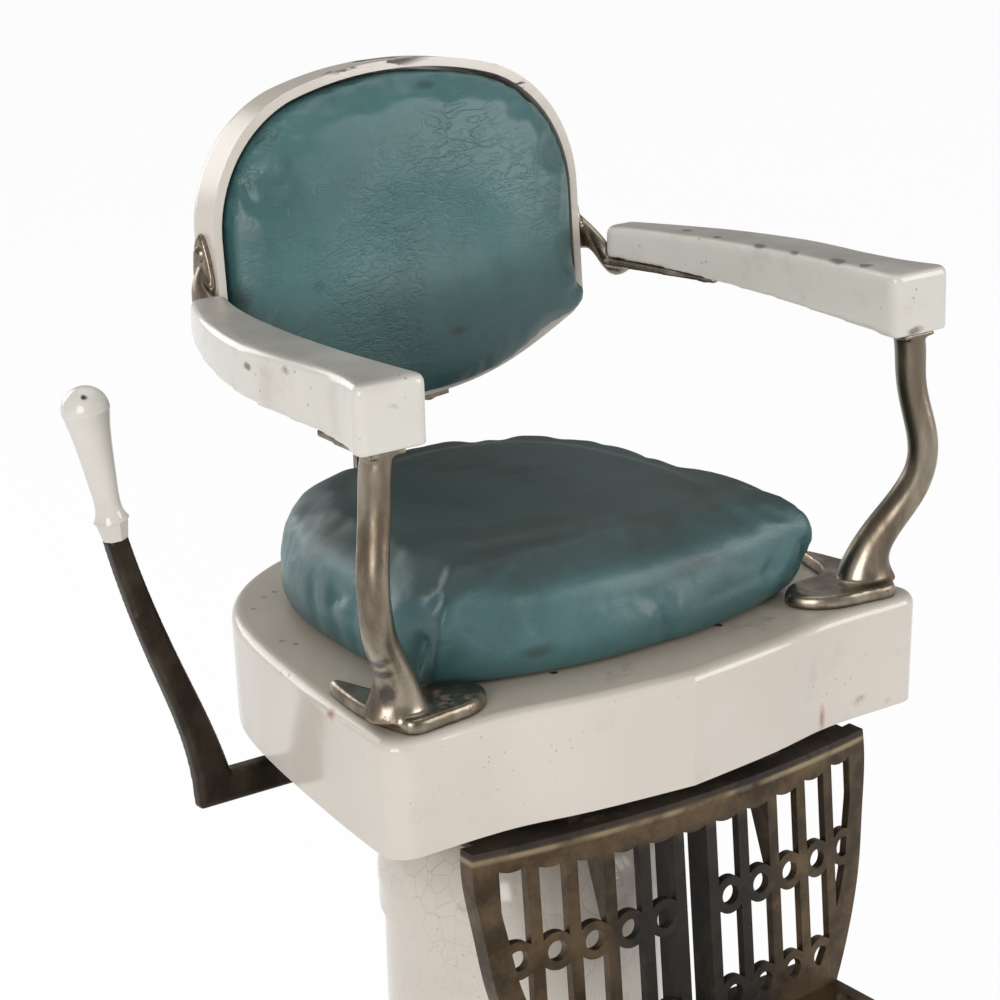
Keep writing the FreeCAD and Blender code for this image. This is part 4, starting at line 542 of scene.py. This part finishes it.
finishes = {
    "enamel": enamelFinish("enamel", False),
    "nickel": nickelFinish(),
    "bronzed": bronzedFinish(),
    "iron": ironFinish(),
    "steel": metalFinish("steel", steel),
    "brass": metalFinish("brass", brass),
    "leather": leatherFinish(),
    "wood": woodFinish(),
    "porcelain": porcelainFinish(),
    "vinyl": vinylFinish("seatVinyl", seatVinyl),
}
# Finishes of single pieces, whose slots others share
ownFinishes = {"pad": vinylFinish("backVinyl", backVinyl), "drum": enamelFinish("drumEnamel", True),
               "arm": armFinish()}
slotOf = {part["node"]: part["material_slot"] for part in frame["record"]["subparts"]}
for name, node in frame["nodes"].items():
    node.data.materials.clear()
    crazed = name.startswith("drum")
    node.data.materials.append(ownFinishes["drum"] if crazed else finishes[slotOf[name]])
print("finishes made")


# Modelling helpers
mergeWithin = 0.00002
blown = {"stiffness": 12.0, "bending": 2.0, "lastFrame": 20}


def only(piece):
    # Selects this piece alone
    bpy.ops.object.select_all(action="DESELECT")
    piece.select_set(True)
    bpy.context.view_layer.objects.active = piece


def copied(node, name):
    # A CAD node's mesh as a new piece, its loose triangles merged
    piece = bpy.data.objects.new(name, frame["nodes"][node].data.copy())
    bpy.context.collection.objects.link(piece)
    only(piece)
    bpy.ops.object.mode_set(mode="EDIT")
    bpy.ops.mesh.select_all(action="SELECT")
    bpy.ops.mesh.remove_doubles(threshold=mergeWithin)
    bpy.ops.mesh.normals_make_consistent(inside=False)
    bpy.ops.object.mode_set(mode="OBJECT")
    return piece


def modified(piece, kind, **settings):
    # Adds a modifier and applies it
    only(piece)
    added = piece.modifiers.new(kind.lower(), kind)
    for name, setting in settings.items():
        setattr(added, name, setting)
    bpy.ops.object.modifier_apply(modifier=added.name)


def finished(piece, slot, body, *nodes, own=None):
    # Smooth shading, a finish, a body to ride on and the nodes it stands for
    only(piece)
    bpy.ops.object.shade_smooth_by_angle(angle=math.radians(180))
    piece.data.materials.clear()
    piece.data.materials.append(ownFinishes[own] if own else finishes[slot])
    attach(piece, body)
    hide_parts(*nodes)


def puffed(piece, pinned, pressure, cap):
    # Blows the piece up as cloth, no point further than cap; pinned says which places stay
    only(piece)
    group = piece.vertex_groups.new(name="pinned")
    group.add([v.index for v in piece.data.vertices if pinned(v.co)], 1.0, "REPLACE")
    start = [v.co.copy() for v in piece.data.vertices]
    added = piece.modifiers.new("cloth", "CLOTH")
    cloth = added.settings
    cloth.vertex_group_mass = "pinned"
    cloth.use_pressure = True
    cloth.uniform_pressure_force = pressure
    cloth.effector_weights.gravity = 0.0
    cloth.tension_stiffness = blown["stiffness"]
    cloth.compression_stiffness = blown["stiffness"]
    cloth.bending_stiffness = blown["bending"]
    for step in range(1, blown["lastFrame"] + 1):
        bpy.context.scene.frame_set(step)
    shaped = piece.evaluated_get(bpy.context.evaluated_depsgraph_get())
    ends = [v.co.copy() for v in shaped.to_mesh().vertices]
    shaped.to_mesh_clear()
    piece.modifiers.remove(added)
    bpy.context.scene.frame_set(1)
    for vertex, before, after in zip(piece.data.vertices, start, ends):
        moved = after - before
        if moved.length > cap:
            moved *= cap / moved.length
        vertex.co = before + moved
    piece.vertex_groups.clear()


def smooth(start, end, value):
    # 0 before start, 1 after end, smooth between
    share = max(0.0, min(1.0, (value - start) / (end - start)))
    return share * share * (3 - 2 * share)


def spaced(place, start, end):
    # Distance from a place to a run between two places
    run = end - start
    share = max(0.0, min(1.0, (place - start).dot(run) / run.length_squared))
    return (place - (start + run * share)).length


def pressedIn(piece, folds):
    # Each fold is a line of places, its half width and its depth, which is below 0 for a bulge
    normals = [v.normal.copy() for v in piece.data.vertices]
    for fold in folds:
        line = [Vector(place) for place in fold["line"]]
        for vertex, normal in zip(piece.data.vertices, normals):
            apart = min(spaced(vertex.co, a, b) for a, b in zip(line, line[1:]))
            if apart < 3 * fold["half"]:
                vertex.co -= normal * fold["depth"] * math.exp(-(apart / fold["half"]) ** 2)


# Seat cushion
seatCushion = {
    "voxel": 0.005, "rounds": 3, "smoothing": 0.5, "pressure": 4.0, "cap": 0.007, "pinned": 0.010,
    "folds": [
        {"line": [(-0.181, -0.1175, 0.652), (-0.180, -0.1276, 0.6776), (-0.165, -0.133, 0.688),
                  (-0.143, -0.14, 0.694)], "half": 0.0055, "depth": 0.0045},
        {"line": [(-0.181, -0.105, 0.692), (-0.184, -0.10, 0.665)], "half": 0.013, "depth": -0.0035},
        {"line": [(-0.170, -0.148, 0.655), (-0.150, -0.153, 0.683)], "half": 0.010, "depth": 0.0030},
        {"line": [(-0.180, 0.022, 0.682), (-0.187, 0.012, 0.650)], "half": 0.007, "depth": 0.0030},
        {"line": [(-0.182, -0.018, 0.682), (-0.188, -0.022, 0.648)], "half": 0.008, "depth": 0.0028},
        {"line": [(-0.180, -0.052, 0.684), (-0.188, -0.048, 0.646)], "half": 0.007, "depth": 0.0024},
        {"line": [(0.0185, -0.170, 0.644), (0.006, -0.176, 0.672)], "half": 0.005, "depth": 0.0028},
        {"line": [(0.030, -0.174, 0.650), (0.024, -0.177, 0.680)], "half": 0.007, "depth": -0.0018},
        {"line": [(0.166, -0.150, 0.690), (0.174, -0.146, 0.668), (0.170, -0.150, 0.650)],
         "half": 0.005, "depth": 0.0035},
        {"line": [(-0.09, -0.158, 0.676), (0.02, -0.172, 0.680)], "half": 0.006, "depth": 0.0012},
        {"line": [(0.06, -0.174, 0.672), (0.14, -0.160, 0.676)], "half": 0.005, "depth": 0.0012},
        {"line": [(0.172, -0.168, 0.704), (0.176, -0.166, 0.682)], "half": 0.011, "depth": -0.0065},
        {"line": [(0.090, 0.165, 0.712), (0.094, 0.150, 0.716)], "half": 0.007, "depth": 0.0035},
    ],
}


def makeSeatCushion():
    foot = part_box("seat_cushion")[0].z + seatCushion["pinned"]
    piece = copied("seat_cushion", "cushion")
    modified(piece, "REMESH", mode="VOXEL", voxel_size=seatCushion["voxel"])
    puffed(piece, lambda co: co.z < foot, seatCushion["pressure"], seatCushion["cap"])
    modified(piece, "SMOOTH", factor=seatCushion["smoothing"], iterations=seatCushion["rounds"])
    modified(piece, "SUBSURF", levels=1, render_levels=1)
    pressedIn(piece, seatCushion["folds"])
    finished(piece, "vinyl", "seat", "seat_cushion")


# Backrest pad, which laps over the tray's rim along its foot and at its lower corners
backPad = {
    "voxel": 0.005, "rounds": 40, "smoothing": 0.9, "inner": 0.72, "middle": (0, 0.92), "crown": 0.04,
    "pressure": 4.0, "cap": 0.005, "pinned": 0.02,
    "lap": 0.010, "lapTop": 0.87, "lapFoot": 0.835, "lapFront": 0.022, "lapSkin": 0.012, "edge": (0.6, 0.95),
    "folds": [
        {"line": [(-0.168, 0.145, 0.982), (-0.150, 0.139, 0.974), (-0.146, 0.138, 0.960)],
         "half": 0.005, "depth": 0.0035},
        {"line": [(-0.140, 0.150, 1.030), (-0.124, 0.143, 1.020), (-0.121, 0.141, 1.008)],
         "half": 0.005, "depth": 0.0035},
        {"line": [(0.166, 0.130, 0.850), (0.150, 0.122, 0.842)], "half": 0.006, "depth": 0.0040},
    ],
}


def makeBackPad():
    low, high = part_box("backrest_pad")
    piece = copied("backrest_pad", "pad")
    modified(piece, "REMESH", mode="VOXEL", voxel_size=backPad["voxel"])
    across, tall = backPad["middle"]
    # The middle is smoothed
    inner = piece.vertex_groups.new(name="inner")
    for vertex in piece.data.vertices:
        outward = max(abs(vertex.co.x) / high.x, abs(vertex.co.z - tall) / (high.z - tall))
        if outward < backPad["inner"]:
            inner.add([vertex.index], 1.0, "REPLACE")
    modified(piece, "SMOOTH", factor=backPad["smoothing"], iterations=backPad["rounds"], vertex_group="inner")
    # The front skin's lower edge moves outwards over the rim
    lean = (high.y - low.y - backPad["crown"]) / (high.z - low.z)
    for vertex in piece.data.vertices:
        co = vertex.co
        behind = co.y - low.y - (co.z - low.z) * lean
        share = smooth(backPad["lapTop"], backPad["lapFoot"], co.z)
        share *= smooth(backPad["lapFront"], backPad["lapSkin"], behind)
        way = Vector((co.x - across, 0, co.z - tall))
        edge = smooth(*backPad["edge"], max(abs(co.x) / high.x, (tall - co.z) / (tall - low.z)))
        co += way.normalized() * backPad["lap"] * share * edge
    rear = high.y - backPad["pinned"]
    puffed(piece, lambda co: co.y > rear, backPad["pressure"], backPad["cap"])
    modified(piece, "SUBSURF", levels=1, render_levels=1)
    pressedIn(piece, backPad["folds"])
    finished(piece, "vinyl", "seat", "backrest_pad", own="pad")


makeSeatCushion()
makeBackPad()
print("cushions made")


# Castings: the CAD shapes with the soft edges of worn castings
castings = {
    "armrest_right": {"voxel": 0.002, "rounds": 6, "slot": "enamel", "body": "seat", "own": "arm"},
    "armrest_left": {"voxel": 0.002, "rounds": 6, "slot": "enamel", "body": "seat", "own": "arm"},
    "post_right": {"voxel": 0.0015, "rounds": 7, "slot": "nickel", "body": "seat", "own": None},
    "post_left": {"voxel": 0.0015, "rounds": 7, "slot": "nickel", "body": "seat", "own": None},
    "rear_bracket_right": {"voxel": 0.0015, "rounds": 5, "slot": "nickel", "body": "seat", "own": None},
    "rear_bracket_left": {"voxel": 0.0015, "rounds": 5, "slot": "nickel", "body": "seat", "own": None},
    "lever_arm": {"voxel": 0.0016, "rounds": 4, "slot": "iron", "body": "lever", "own": None},
}
castSmoothing = 0.5


def makeCasting(node, facts):
    piece = copied(node, node + "_cast")
    modified(piece, "REMESH", mode="VOXEL", voxel_size=facts["voxel"])
    modified(piece, "SMOOTH", factor=castSmoothing, iterations=facts["rounds"])
    finished(piece, facts["slot"], facts["body"], node, own=facts["own"])


for node, facts in castings.items():
    makeCasting(node, facts)
print("castings made")
